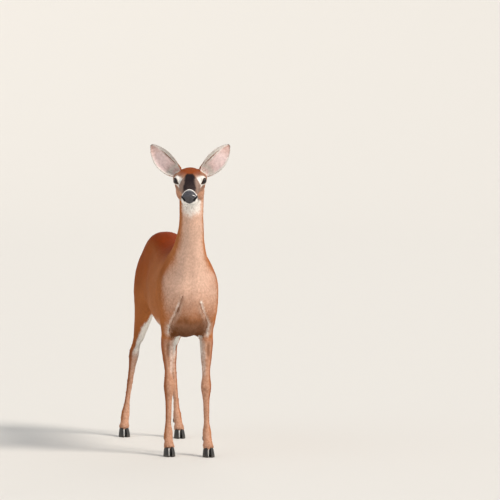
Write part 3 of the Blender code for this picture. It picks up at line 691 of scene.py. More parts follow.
def earPlaces(points):  # u along and v across each ear, 1 where a point faces into the cup, and the cup's outward way
    local = toHead(points)
    u, v, inner, onCup = (np.zeros(len(points)) for i in range(4))
    outward = np.zeros((len(points), 3))
    for side in sides.values():
        gu, gv = np.meshgrid(np.linspace(0.0, 0.985, 70), np.linspace(-1, 1, 41), indexing="ij")
        grid = earSurface(side, gu, gv, 0.0).reshape(-1, 3)
        away = unit(earSurface(side, gu, gv, 0.001).reshape(-1, 3) - grid)
        tree = KDTree(len(grid))
        for i, p in enumerate(grid.tolist()):
            tree.insert(p, i)
        tree.balance()
        root = np.array(earPlan["root"]) * [side, 1, 1]
        for i in np.where(np.linalg.norm(local - root - earAxes(side)[2] * 0.08, axis=1) < 0.115)[0]:
            place, k, gap = tree.find(local[i])
            if gap < 0.007:
                u[i], v[i], onCup[i], outward[i] = gu.flat[k], gv.flat[k] * side, 1, away[k]
                inner[i] = float((local[i] - grid[k]) @ away[k] < 0)
    return u, v, inner, onCup, outward


# folds of the cup's gristle: where across the ear, how high, how wide, from and to along the ear; less than 0 is a groove
earFolds = ((-0.42, -0.0034, 0.070, 0.06, 0.84), (-0.28, 0.0026, 0.055, 0.06, 0.80), (0.02, 0.0016, 0.045, 0.04, 0.46),
            (0.12, -0.0006, 0.045, 0.04, 0.50), (0.36, 0.0016, 0.045, 0.04, 0.46), (0.47, -0.0010, 0.050, 0.04, 0.52))


def earFold(u, v, only=0):  # the folds' height over the cup, or only the grooves' where asked
    height = np.zeros(len(u))
    for middle, amount, width, start, end in earFolds:
        if amount * only <= 0:
            bent = v - middle + 0.10 * (u - 0.3)
            height += amount * np.exp(-(bent / width) ** 2) * ramp(start, start + 0.1, u) * ramp(end, end - 0.2, u)
    return height


def shapeHead(points, faces):
    local = toHead(points)
    normals = normalsOf(points, faces) @ headTurn
    for place, amount, radii in headForms.values():
        swell(local, normals, [s[0] for s in bothSides([place], 0.0)], amount, np.array(radii))
    for path, amount, width in headLines.values():
        for side in bothSides(path, 0.0):
            ridge(local, normals, smoothPath(side), amount, width)
    chin = np.exp(-(((local - (0, -0.243, -0.083)) / (0.018, 0.020, 0.010)) ** 2).sum(1))
    local += normals * (0.0022 * chin)[:, None]
    ridge(local, normals, smoothPath([(0, -0.271, -0.036), (0, -0.272, -0.050), (0, -0.268, -0.064)]), -0.0020, 0.0018)
    ridge(local, normals, smoothPath([(-0.018, -0.250, -0.024), (0, -0.257, -0.021), (0.018, -0.250, -0.024)]), -0.0010, 0.0030)
    ridge(local, normals, [(0, -0.060, 0.020), (0, -0.120, 0.014), (0, -0.190, -0.004)], -0.0010, 0.010)
    above, gap = mouthGap(local)
    muzzle = ramp(-0.170, -0.200, local[:, 1])
    groove = -mouthPlan["depth"] * np.exp(-(gap / mouthPlan["width"]) ** 2)
    lips = mouthPlan["lips"] * np.exp(-((np.abs(above) - 0.0045) / 0.0030) ** 2)
    local += normals * ((groove + lips) * muzzle)[:, None]
    u, v, inner, onCup, outward = earPlaces(points)
    local -= outward * earFold(u, v)[:, None]
    for comma in bothSides(nostrilPlan["comma"], 0.0):
        gap, along = nearPath(local, laid(smoothPath(comma), local))
        width = nostrilPlan["width"] * (1.15 - 0.55 * along)
        inward = unit(np.array((-np.sign(comma[0, 0]) * 0.75, 0.62, 0.10)))
        local += inward * (nostrilPlan["depth"] * ramp(width * 1.45, width * 0.55, gap))[:, None]
        rim = np.exp(-((gap - width * 1.75) / 0.0016) ** 2)
        local += normals * (0.0010 * rim)[:, None]
    for side in sides.values():  # ear canals: the bulb inside the cup sinks away
        across, facing, along = earAxes(side)
        root = np.array(earPlan["root"]) * [side, 1, 1]
        away = local - root
        up, fore, wide = away @ along, away @ facing, away @ across
        inside = np.exp(-((wide / 0.014) ** 4)) * np.exp(-(((fore - 0.004) / 0.017) ** 4)) * ramp(-0.010, 0.000, up) * ramp(0.030, 0.018, up)
        facingUp = np.clip(normals @ along, 0, 1)
        local -= along * (0.018 * inside * facingUp)[:, None]
    return fromHead(local)


def closeToFeatures(points, reach):  # which points lie by the eyes, nostrils, mouth and tear pits
    local = toHead(points)
    wanted = np.zeros(len(points), bool)
    for name in sides:
        gap = np.linalg.norm(points - eyeCentre[name], axis=1)
        wanted |= gap < 0.0215 * reach
    for side in (-1, 1):
        flip = local * [side, 1, 1]
        wanted |= (mouthGap(local)[1] < 0.0060 * reach) & (local[:, 1] < -0.17)
        wanted |= nearPath(flip, headLines["tear pit"][0])[0] < 0.0065 * reach
        wanted |= nearPath(flip, nostrilPlan["comma"])[0] < 0.0100 * reach
    return wanted


def nearRims(points):
    wanted = np.zeros(len(points), bool)
    for name in sides:
        away = points - eyeCentre[name]
        close = (np.linalg.norm(away, axis=1) < 0.024) & (away @ eyeFrame(name)[2] > 0)
        wanted[close] = np.abs(outsideLid(name, points[close])) < 0.0032
    return wanted


skinPoints, skinFaces = refined(skinPoints, skinFaces, closeToFeatures(skinPoints, 1.0))
skinPoints = relax(skinPoints, edgesOfTriangles(skinFaces), 6, closeToFeatures(skinPoints, 1.0).astype(float))
skinPoints, skinFaces = refined(skinPoints, skinFaces, nearRims(skinPoints))
skinPoints = shapeHead(skinPoints, skinFaces)
skinPoints = layLids(skinPoints, skinFaces)
print("shaped the head:", len(skinFaces), "triangles in the skin")

# ---- where the coat's markings lie

skinEdges = edgesOfTriangles(skinFaces)
skinLabels = nearestNode(skinPoints)
skinNormals = normalsOf(skinPoints, skinFaces)
midX = 0.0166  # her middle plane


def padTop(x):  # how far back the pad reaches: an arch over the nose
    return -0.2315 - 0.16 * x - 22.0 * x * x


def padEdge(local):  # distance inside the bare nose pad's edge, less than 0 outside it
    x, y, z = np.abs(local[:, 0]), local[:, 1], local[:, 2]
    sidesOf = np.stack((padTop(x) - y, z + 0.0605 - 0.20 * x - 20.0 * x * x, 0.0276 - x))
    edge = -0.0022 * np.log(np.exp(-np.clip(sidesOf, -0.05, 0.05) / 0.0022).sum(0))  # the least of them, with rounded corners
    for comma in bothSides(nostrilPlan["comma"], 0.0):
        edge = np.maximum(edge, 0.0062 - nearPath(local, smoothPath(comma))[0])
    return edge


def eyeGaps(points):  # distance outside each eye's opening, for the nearer eye, and the way from it
    gap, up, inner = np.full(len(points), 0.2), np.zeros(len(points)), np.zeros(len(points))
    for name in sides:
        near = np.where(np.linalg.norm(points - eyeCentre[name], axis=1) < 0.060)[0]
        toInner, toUp, gaze = eyeFrame(name)
        away = points[near] - eyeCentre[name]
        out = outsideLid(name, points[near])
        out = np.maximum(out, np.linalg.norm(away, axis=1) - eyeRadius - 0.006)
        gap[near] = out
        way = unit(away)
        up[near], inner[near] = way @ toUp, way @ toInner
    return gap, up, inner


def aroundLegs(points, labels, names):  # how far inwards and forwards of its leg's middle each point lies, from -1 to 1
    side = np.sign(points[:, 0] - midX)
    found = np.zeros((len(points), 2))
    steps = np.arange(0.03, 0.68, 0.02)
    for s in (-1, 1):
        mine = points[(share(names, labels) > 0.5) & (side == s)]
        rings = [mine[np.abs(mine[:, 2] - h) < 0.014, :2] for h in steps]
        known = [h for h, ring in zip(steps, rings) if len(ring) > 5]
        middle = np.array([(ring.min(0) + ring.max(0)) / 2 for ring in rings if len(ring) > 5])
        away = points[:, :2] - np.stack([np.interp(points[:, 2], known, middle[:, k]) for k in (0, 1)], 1)
        away = away / (np.linalg.norm(away, axis=1, keepdims=True) + 1e-6) * (-s, -1)
        found[side == s] = away[side == s]
    return found[:, 0], found[:, 1]


def markings(points, normals, labels):
    local = toHead(points)
    head = soften(share(("head", "ear"), labels), skinEdges, 8)
    hx, hy, hz = np.abs(local[:, 0]), local[:, 1], local[:, 2]
    hn = normals @ headTurn
    x, y, z = points[:, 0] - midX, points[:, 1], points[:, 2]
    wobble = softNoise(points, 0.030, 7) * 0.6 + softNoise(points, 0.011, 8) * 0.4
    fine = softNoise(points, 0.006, 9)
    isEar = share(("ear",), labels)
    trunk = soften(share(("trunk",), labels), skinEdges, 4)
    thigh = soften(share(("thigh",), labels), skinEdges, 4)
    forearm = soften(share(("forearm",), labels), skinEdges, 4)
    foreShank = soften(share(("fore_shank",), labels), skinEdges, 4)
    hindShank = soften(share(("hind_shank",), labels), skinEdges, 4)
    tail = soften(share(("tail",), labels), skinEdges, 2)
    neck = soften(share(("neck",), labels), skinEdges, 6)
    legSide = np.sign(x)
    broad = unit(soften(normals, skinEdges, 24))
    inward = -(0.4 * normals[:, 0] + 0.6 * broad[:, 0]) * legSide  # 1 where the leg's face looks at the other leg
    down, back = -normals[:, 2], normals[:, 1]
    gap, up, toInner = eyeGaps(points)
    u, v, innerEar, onCup, outward = earPlaces(points)
    innerEar = ramp(0.10, -0.10, (hn * outward).sum(1)) * onCup
    edge = padEdge(local)
    pad = ramp(-0.0013, 0.0013, edge) * head

    white = np.zeros(len(points))
    # face: band round the nose pad, chin, underjaw, eye rings
    band = ramp(-0.0076, -0.0034, edge + 0.0018 * wobble) * ramp(-0.30, 0.10, -hn[:, 1] + 0.8)
    white = np.maximum(white, 0.90 * band * head)
    lips = ramp(-0.222, -0.240, hy + 0.004 * wobble) * ramp(-0.042, -0.052, hz + 0.003 * wobble)
    white = np.maximum(white, lips * head)
    chin = ramp(-0.0600, -0.0660, hz) * ramp(-0.165, -0.200, hy + 0.006 * wobble)
    white = np.maximum(white, chin * head)
    underJaw = ramp(0.35, 0.80, -hn[:, 2] + 0.10 * wobble) * ramp(-0.060, -0.085, hz) * ramp(-0.02, -0.09, hy)
    underJaw *= np.maximum(ramp(0.046, 0.036, hx), ramp(-0.09, -0.12, hy))
    white = np.maximum(white, 0.92 * underJaw * head)
    reach = gap - 0.0060 * np.clip(up, 0, 1) - 0.0020 * np.clip(toInner, 0, 1) + 0.0026 * wobble
    ring = ramp(0.0008, 0.0020, gap) * ramp(0.0140, 0.0045, reach)
    ring *= 1 - 0.70 * ramp(0.15, 0.75, -toInner) * ramp(0.4, -0.3, up)
    white = np.maximum(white, 0.90 * ring)
    # throat patch
    frontness = ramp(0.15, 0.80, -normals[:, 1] + 0.22 * wobble) * ramp(0.046, 0.029, np.abs(x) + 0.008 * wobble)
    throat = frontness * ramp(0.970, 1.030, z + 0.016 * wobble - 0.55 * np.abs(x)) * ramp(1.16, 1.10, z) * neck
    white = np.maximum(white, 0.80 * throat)
    # ears: white hair along the inner edge, at the base and before the ear's root
    earWhite = innerEar * np.maximum(ramp(-0.15, -0.60, v + 0.25 * wobble), ramp(0.36, 0.04, u + 0.06 * wobble))
    earWhite = np.maximum(earWhite, innerEar * 0.85 * ramp(0.70, 0.95, np.abs(v) + 0.1 * wobble) * ramp(0.95, 0.7, u))
    earWhite *= 1 - 0.30 * ramp(0.45, 0.90, u + 0.05 * wobble)
    white = np.maximum(white, earWhite * isEar)
    earFront = np.zeros(len(points))
    for side in sides.values():
        across, facing, along = earAxes(side)
        away = local - np.array(earPlan["root"]) * [side, 1, 1]
        nearRoot = ramp(0.034, 0.018, np.linalg.norm(away + [0, 0.006, 0.004], axis=1))
        earFront = np.maximum(earFront, nearRoot * ramp(-0.2, 0.35, hn @ facing))
    white = np.maximum(white, 0.80 * earFront * (1 - onCup) * ramp(0.036, 0.044, hx))
    # belly, groin, inner thighs, buttocks under the tail, inner forelegs
    belly = ramp(0.45, 0.80, down + 0.12 * wobble) * ramp(-0.17, -0.02, y + 0.02 * wobble) * trunk * ramp(0.60, 0.54, z)
    white = np.maximum(white, 0.96 * belly)
    groin = ramp(0.15, 0.55, inward + 0.12 * wobble) * thigh * ramp(0.76, 0.68, z)
    white = np.maximum(white, 0.96 * groin)
    under = np.exp(-((x / 0.050) ** 2 + ((z - 0.72) / 0.095) ** 2)) * ramp(0.530, 0.560, y) * ramp(-0.1, 0.5, back)
    white = np.maximum(white, ramp(0.25, 0.60, under + 0.1 * wobble))
    white = np.maximum(white, 0.78 * ramp(0.35, 0.95, inward + 0.20 * wobble) * forearm * ramp(0.32, 0.48, z))
    white = np.maximum(white, 0.62 * ramp(0.35, 0.95, inward + 0.16 * wobble) * hindShank * ramp(0.16, 0.42, z))
    inwards, forwards = aroundLegs(points, labels, ("thigh", "hind_shank"))
    innerFront = ramp(-0.10, 0.25, 0.80 * inwards + 0.55 * forwards + 0.10 * wobble - 4.5 * np.clip(z - 0.42, 0, 0.20)) * ramp(-0.75, -0.45, forwards)
    innerFront *= np.clip(thigh + hindShank, 0, 1) * ramp(0.66, 0.58, z)
    white = np.maximum(white, innerFront * (0.94 * ramp(0.34, 0.40, z) + 0.25 * ramp(0.40, 0.34, z) * ramp(0.22, 0.32, z)))
    inwardFore, forwardFore = aroundLegs(points, labels, ("forearm", "fore_shank"))
    # a pale band down each forearm's front: partly the pale inner-leg hair, partly a painted highlight where light
    # catches it
    stripe = ramp(0.62, 1.00, 0.72 * inwardFore + 0.68 * forwardFore + 0.16 * wobble) * forearm * ramp(0.30, 0.36, z)
    white = np.maximum(white, 0.42 * stripe)
    axilla = ramp(0.35, 0.75, inward + 0.1 * wobble) * trunk * ramp(0.56, 0.50, z) * ramp(-0.36, -0.31, y)
    white = np.maximum(white, 0.85 * axilla)
    # tail: white beneath and along its edges
    tailX, tailHalf = points[tail > 0.9][:, 0].mean(), np.abs(points[tail > 0.9][:, 0] - points[tail > 0.9][:, 0].mean()).max()
    tailSide = np.abs(points[:, 0] - tailX) / tailHalf
    tailTop = ramp(-0.35, 0.15, back + 0.15 * wobble) * ramp(0.86, 0.66, tailSide + 0.10 * wobble)
    white = np.maximum(white, tail * (1 - tailTop) * ramp(0.86, 0.82, z))
    white *= 1 - tail * tailTop
    # along each crease: the pale strip beside it is a painted highlight where light catches the fold's edge, and the
    # dark line down it is painted shadow
    creaseShadow = np.zeros(len(points))
    for name, path in creases.items():
        near, along = nearPath(points, laid(smoothPath(path), points))
        edgeX = np.interp(z, [p[2] for p in path][::-1], [p[0] for p in path][::-1])
        outside = ramp(-0.004, 0.006, (points[:, 0] - edgeX) * sides[name])
        white = np.maximum(white, 0.62 * outside * ramp(0.019, 0.004, near + 0.004 * wobble) * ramp(0.0, 0.07, along))
        creaseShadow = np.maximum(creaseShadow, ramp(0.0070, 0.001, near + 0.002 * wobble) * ramp(0.0, 0.08, along))

    dark = np.zeros(len(points))
    corner = 0.006 * ramp(-0.135, -0.116, hy)
    corner = corner - 0.011 * ramp(-0.165, -0.215, hy)
    blaze = ramp(0.0290, 0.0135, hx + corner + 0.0034 * wobble + 0.0018 * fine) * ramp(-0.110, -0.124, hy + 0.004 * wobble)
    blaze *= ramp(-0.0320, -0.0150, hz) * ramp(-0.10, 0.30, hn[:, 2]) * head
    blaze *= 0.92 - 0.10 * ramp(-0.150, -0.200, hy + 0.010 * wobble)
    dark = np.maximum(dark, blaze * (1 - band))
    dark = np.maximum(dark, ramp(0.0017, 0.0007, gap))  # the lids' margins
    tear = nearPath(np.stack((hx, hy, hz), 1), headLines["tear pit"][0])[0]
    dark = np.maximum(dark, 0.70 * ramp(0.0040, 0.0006, tear) * head)
    lipSpot = np.exp(-(((np.stack((hx, hy, hz), 1) - (0.029, -0.212, -0.068)) / (0.006, 0.011, 0.007)) ** 2).sum(1))
    dark = np.maximum(dark, 0.85 * ramp(0.35, 0.7, lipSpot))
    dark = np.maximum(dark, 0.75 * ramp(0.0019, 0.0007, mouthGap(local)[1]) * ramp(-0.17, -0.20, hy) * head)
    rimDark = 0.25 * ramp(0.93, 1.0, np.abs(v)) * ramp(0.12, 0.40, u) * (1 - innerEar) + 0.8 * ramp(0.93, 1.0, u + 0.02 * wobble)
    rimDark = np.maximum(rimDark, 0.30 * (1 - innerEar) * ramp(0.45, 0.9, u))
    dark = np.maximum(dark, 0.85 * np.clip(rimDark, 0, 1) * onCup)
    # painted shadow: a brown line along each groove of the ears' folds, with less white and pink there
    foldShadow = ramp(0.40, 0.80, -earFold(u, v, 1) / 0.0034 + 0.05 * wobble) * innerEar * onCup
    white *= 1 - 0.85 * foldShadow
    nostril = np.zeros(len(points))
    for comma in bothSides(nostrilPlan["comma"], 0.0):
        nostril = np.maximum(nostril, ramp(0.0055, 0.0035, nearPath(local, smoothPath(comma))[0]))
    dark = np.maximum(dark, np.maximum(nostril, pad) * head)
    white *= 1 - np.maximum(nostril, pad) * head

    brown = np.zeros(len(points))  # darker brown: the breast between the creases, browner and with painted shade towards its bottom; painted shadow in the crease lines, the forearms' hollows and the ears' folds; tarsal tufts, tail's upper side
    leftEdge = np.interp(z, [p[2] for p in creases["right"]][::-1], [p[0] for p in creases["right"]][::-1])
    rightEdge = np.interp(z, [p[2] for p in creases["left"]][::-1], [p[0] for p in creases["left"]][::-1])
    within = ramp(-0.004, 0.012, points[:, 0] - leftEdge) * ramp(-0.004, 0.012, rightEdge - points[:, 0])
    # browner between the creases, and darker towards the bottom as painted shade under the chest
    breastToneAndShade = within * (0.26 * ramp(0.690, 0.650, z) + 0.56 * ramp(0.610, 0.500, z + 0.040 * wobble)) * ramp(-0.13, -0.20, y) * trunk
    mottle = ramp(0.0, 0.6, wobble) * within * ramp(0.62, 0.57, z) * trunk
    brown = np.maximum(brown, breastToneAndShade + 0.30 * mottle * ramp(-0.13, -0.20, y))
    # painted shadow down each crease
    brown = np.maximum(brown, 0.75 * creaseShadow)
    # painted shade: brown in the hollow down each forearm's front
    forearmHollowShade = np.zeros(len(points))
    for place in (forearmHollow["right"], forearmHollow["left"]):
        forearmHollowShade = np.maximum(forearmHollowShade, np.exp(-(((points - place) / (0.011, 0.030, 0.045)) ** 2).sum(1)))
    brown = np.maximum(brown, 0.55 * ramp(0.25, 0.85, forearmHollowShade + 0.15 * wobble) * ramp(0.0, 0.5, -normals[:, 1]))
    brown = np.maximum(brown, 0.5 * np.exp(-((points - whorl) ** 2).sum(1) / 0.0075 ** 2))
    brown = np.maximum(brown, 0.55 * tail * tailTop)
    brown = np.maximum(brown, 0.80 * foldShadow * (0.8 + 0.3 * wobble))
    beside = np.exp(-(((np.stack((hx, hy, hz), 1) - (0.031, -0.210, -0.033)) / (0.014, 0.030, 0.020)) ** 2).sum(1))
    brown = np.maximum(brown, 0.42 * ramp(0.1, 1.0, beside + 0.2 * wobble) * head)
    tarsal = np.exp(-(((z - 0.365) / 0.030) ** 2)) * ramp(0.2, 0.7, inward) * (hindShank + thigh)
    brown = np.maximum(brown, 0.6 * tarsal)

    red = np.zeros(len(points))  # the richer red of back, crown and rump
    spine = ramp(0.05, 1.0, broad[:, 2] + 0.03 * wobble) * (trunk + thigh)
    barrel = np.clip(trunk + thigh + 0.6 * neck, 0, 1)
    red = np.maximum(red, (0.28 * ramp(-0.36, 0.05, y) + 0.34 * ramp(-0.05, 0.50, y)) * ramp(0.46, 0.80, z) * barrel)
    red = np.maximum(red, 0.92 * spine)
    red = np.maximum(red, 0.42 * ramp(0.2, 0.9, -inward) * (forearm + foreShank + hindShank + 0.6 * thigh) * ramp(0.06, 0.14, z))
    crown = ramp(-0.130, -0.112, hy + 0.004 * wobble) * ramp(-0.02, 0.012, hz) * ramp(0.050, 0.036, hx) * head
    red = np.maximum(red, 0.65 * crown * (1 - isEar))
    red = np.maximum(red, 0.55 * neck * ramp(0.0, 0.6, back))

    buff = np.zeros(len(points))  # paler tan of neck front, chest and legs
    front = ramp(0.10, 0.80, -broad[:, 1] + 0.10 * wobble) * ramp(-0.12, -0.26, y) * np.clip(neck + trunk, 0, 1)
    buff = np.maximum(buff, (0.40 + 0.50 * ramp(0.56, 0.76, z)) * front * ramp(0.50, 0.62, z))
    # paler tan along each crease: the soft edge of the painted highlight there
    for path in creases.values():
        near, along = nearPath(points, laid(smoothPath(path), points))
        buff = np.maximum(buff, 0.75 * ramp(0.028, 0.006, near + 0.005 * wobble) * ramp(0.0, 0.2, along))
    buff = np.maximum(buff, 0.45 * ramp(-0.2, 0.5, inward) * (forearm + foreShank + hindShank))
    buff = np.maximum(buff, 0.22 * (foreShank + hindShank + forearm))
    buff = np.maximum(buff, 0.50 * ramp(-0.2, 0.7, 0.45 * inwardFore + 0.85 * forwardFore) * (forearm + foreShank))
    buff = np.maximum(buff, 0.54 * ramp(-0.2, 0.6, 0.60 * inwards + 0.80 * forwards) * hindShank)
    buff = np.maximum(buff, 0.42 * ramp(0.12, 0.05, z))
    buff = np.maximum(buff, 0.6 * ramp(0.20, 0.55, down) * trunk * ramp(0.62, 0.52, z))
    buff = np.maximum(buff, 0.5 * head * ramp(-0.02, -0.06, hz) * ramp(-0.02, -0.08, hy) * (1 - isEar))

    grey = np.zeros(len(points))  # grey-brown of the muzzle's sides, below the eyes and the ears' backs
    grey = np.maximum(grey, 0.85 * head * ramp(-0.120, -0.150, hy + 0.004 * wobble) * ramp(-0.075, -0.050, hz) * (1 - isEar))
    grey = np.maximum(grey, 0.55 * head * ramp(0.030, 0.014, gap) * (1 - isEar))
    grey = np.maximum(grey, 0.80 * isEar * (1 - innerEar) * ramp(0.02, 0.25, u))
    grey = np.maximum(grey, 0.30 * innerEar * onCup * ramp(0.50, 0.95, u + 0.10 * wobble))
    pink = onCup * innerEar * (1 - 0.45 * ramp(0.55, 0.95, u + 0.08 * wobble)) * (0.9 + 0.1 * wobble) * (1 - 0.8 * foldShadow)
    return {"white": white, "dark": dark, "brown": brown, "red": red, "buff": buff, "grey": grey, "pink": pink, "pad": pad}


marks = markings(skinPoints, skinNormals, skinLabels)
marks = {k: np.clip(m, 0, 1) for k, m in marks.items()}
print("placed the markings")

# ---- materials


def addNode(tree, kind, settings=None, links=None):  # a node, with values for its properties or inputs, and links into it
    node = tree.nodes.new(kind)
    for key, value in (settings or {}).items():
        if isinstance(key, int) or key in node.inputs and not hasattr(node, key):
            node.inputs[key].default_value = value
        else:
            setattr(node, key, value)
    for key, source in (links or {}).items():
        tree.links.new(source, node.inputs[key])
    return node


def newMaterial(name, settings):
    made = bpy.data.materials.new(name)
    made.use_nodes = True
    tree = made.node_tree
    surface = tree.nodes["Principled BSDF"]
    for key, value in settings.items():
        surface.inputs[key].default_value = value
    return made, tree, surface


def mixed(tree, factor, below, above):  # colour above over colour below
    node = addNode(tree, "ShaderNodeMix", {"data_type": "RGBA"})
    tree.links.new(factor, node.inputs[0])
    for socket, value in ((node.inputs[6], below), (node.inputs[7], above)):
        if isinstance(value, str):
            socket.default_value = linearColour(value)
        else:
            tree.links.new(value, socket)
    return node.outputs[2]


coatPlan = {
    "tan": "#ae6b3d", "red": "#84330b", "buff": "#d8b39e", "white": "#f0ece6", "dark": "#2b2325", "brown": "#6f4427",
    "grey": "#957f74", "pink": "#f7e1df",
    "lockSize": 9 * mm, "hairSize": 1.6 * mm,  # a summer hair is 0.1 mm thick, drawn coarser so that it shows
}


def coatMaterial(name, tufts):
    # deer hair: hollow, stiff and lying flat, so a soft even gloss along the body and no sparkle
    made, tree, surface = newMaterial(name, {"Roughness": 0.62, "IOR": 1.45, "Specular IOR Level": 0.02})
    place = addNode(tree, "ShaderNodeTexCoord").outputs["Object"]
    lock = addNode(tree, "ShaderNodeTexNoise", {"Scale": 1 / coatPlan["lockSize"], "Detail": 2.0, "Roughness": 0.6}, {"Vector": place})
    hair = addNode(tree, "ShaderNodeTexNoise", {"Scale": 1 / coatPlan["hairSize"], "Detail": 1.0}, {"Vector": place})
    broad = addNode(tree, "ShaderNodeTexNoise", {"Scale": 1 / (70 * mm), "Detail": 1.0}, {"Vector": place})
    colour = coatPlan["tan"]
    for key in ("buff", "red", "grey", "brown", "pink", "white", "dark"):
        mask = addNode(tree, "ShaderNodeAttribute", {"attribute_name": key}).outputs["Fac"]
        # the noise frays each marking's edge, where hairs of both colours lie mixed
        frayed = addNode(tree, "ShaderNodeMath", {"operation": "MULTIPLY_ADD", 1: 0.36, 2: -0.18}, {0: lock.outputs["Fac"]})
        edge = addNode(tree, "ShaderNodeMath", {"operation": "ADD"}, {0: mask, 1: frayed.outputs[0]})
        range_ = addNode(tree, "ShaderNodeMapRange", {"interpolation_type": "SMOOTHSTEP", "From Min": 0.05, "From Max": 0.95},
                         {"Value": edge.outputs[0]})
        only = addNode(tree, "ShaderNodeMath", {"operation": "MULTIPLY"}, {0: range_.outputs["Result"], 1: addNode(
            tree, "ShaderNodeMapRange", {"From Min": 0.0, "From Max": 0.08}, {"Value": mask}).outputs["Result"]})
        colour = mixed(tree, only.outputs[0], colour, coatPlan[key])
    # light and dark hairs side by side
    shade = addNode(tree, "ShaderNodeMapRange", {"From Min": 0.25, "From Max": 0.75, "To Min": 0.86, "To Max": 1.10},
                    {"Value": lock.outputs["Fac"]})
    wide = addNode(tree, "ShaderNodeMapRange", {"From Min": 0.3, "From Max": 0.7, "To Min": 0.94, "To Max": 1.05},
                   {"Value": broad.outputs["Fac"]})
    level = addNode(tree, "ShaderNodeMath", {"operation": "MULTIPLY"}, {0: shade.outputs["Result"], 1: wide.outputs["Result"]})
    if tufts:
        strand = addNode(tree, "ShaderNodeAttribute", {"attribute_name": "strand"}).outputs["Fac"]
        tone = addNode(tree, "ShaderNodeMapRange", {"To Min": 0.92, "To Max": 1.07}, {"Value": strand})
        level = addNode(tree, "ShaderNodeMath", {"operation": "MULTIPLY"}, {0: level.outputs[0], 1: tone.outputs["Result"]})
        tip = addNode(tree, "ShaderNodeAttribute", {"attribute_name": "tip"}).outputs["Fac"]
        toTip = addNode(tree, "ShaderNodeMapRange", {"To Min": 0.97, "To Max": 1.03}, {"Value": tip})
        level = addNode(tree, "ShaderNodeMath", {"operation": "MULTIPLY"}, {0: level.outputs[0], 1: toTip.outputs["Result"]})
    toned = addNode(tree, "ShaderNodeVectorMath", {"operation": "SCALE"}, {0: colour, "Scale": level.outputs[0]})
    tree.links.new(toned.outputs[0], surface.inputs["Base Color"])
    rough = addNode(tree, "ShaderNodeMapRange", {"From Min": 0.3, "From Max": 0.7, "To Min": 0.50, "To Max": 0.66},
                    {"Value": hair.outputs["Fac"]})
    tree.links.new(rough.outputs["Result"], surface.inputs["Roughness"])
    height = addNode(tree, "ShaderNodeMath", {"operation": "MULTIPLY_ADD", 1: 0.5}, {0: hair.outputs["Fac"], 2: lock.outputs["Fac"]})
    bump = addNode(tree, "ShaderNodeBump", {"Strength": 0.18 if tufts else 0.40, "Distance": 0.0010}, {"Height": height.outputs[0]})
    tree.links.new(bump.outputs["Normal"], surface.inputs["Normal"])
    return made


coatSkin = coatMaterial("flat summer hair", False)
coatTufts = coatMaterial("summer hair tufts", True)


def setMarks(mesh, values, extra=None):
    for key, value in {**values, **(extra or {})}.items():
        layer = mesh.attributes.new(key, "FLOAT", "POINT")
        layer.data.foreach_set("value", np.asarray(value, np.float32))


# ---- the skin's unwrap: every part laid out side by side, face on

mapPlan = {"tuft": 0.003, "gap": 0.012, "headScale": 2.0, "earScale": 1.6, "width": 2.75}


def unwrapBySides(points, triangles, labels):
    a, b, c = (points[triangles[:, i]] for i in range(3))
    flat = unit(np.cross(b - a, c - a))
    part = labels[triangles[:, 0]]
    headLike = np.isin(part, [i for i, n in enumerate(fleshNodes) if n.startswith(("head", "ear"))])
    flat = np.where(headLike[:, None], flat @ headTurn, flat)
    facing = np.abs(flat).argmax(1)
    chart = part * 6 + facing * 2 + (flat[np.arange(len(flat)), facing] > 0)
    uv = np.zeros((len(triangles), 3, 2))
    boxes = []
    for k in np.unique(chart):
        rows = np.where(chart == k)[0]
        name, axis = fleshNodes[k // 6], (k % 6) // 2
        corners = points[triangles[rows]]
        if name.startswith(("head", "ear")):
            corners = toHead(corners.reshape(-1, 3)).reshape(corners.shape)
        flatCorners = np.delete(corners, axis, axis=2)
        scale = mapPlan["headScale"] if name == "head" else mapPlan["earScale"] if name.startswith("ear") else 1.0
        flatCorners = flatCorners * scale
        low = flatCorners.reshape(-1, 2).min(0)
        uv[rows] = flatCorners - low
        boxes.append((k, rows, flatCorners.reshape(-1, 2).max(0) - low))
    boxes.sort(key=lambda box: -box[2][1])
    x = y = shelf = 0.0
    for k, rows, size in boxes:
        if x + size[0] > mapPlan["width"]:
            x, y, shelf = 0.0, y + shelf + mapPlan["gap"], 0.0
        uv[rows] += (x, y)
        x, shelf = x + size[0] + mapPlan["gap"], max(shelf, size[1])
    extent = max(mapPlan["width"], y + shelf)
    print("laid out the skin:", len(boxes), "charts,", round(extent, 2), "m across")
    return (uv + 0.004) / (extent + 0.008)


skinUv = unwrapBySides(skinPoints, skinFaces, skinLabels)
skin = newObject("skin", skinPoints, skinFaces)
skin.data.uv_layers.new(name="OFBake").data.foreach_set("uv", skinUv.reshape(-1).astype(np.float32))
setMarks(skin.data, {k: m for k, m in marks.items() if k != "pad"})
skin.data.materials.append(coatSkin)
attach(skin, "root")
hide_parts(*fleshNodes)

# ---- eyes: a ball with a raised cornea, and the wet dark edge of the lids

eyeLook = {"iris": "#45220f", "irisRim": "#190b05", "pupil": "#040508", "white": "#8d7c70", "corneaRise": 0.0014,
           "corneaAngle": 46, "rings": 56, "spokes": 72}


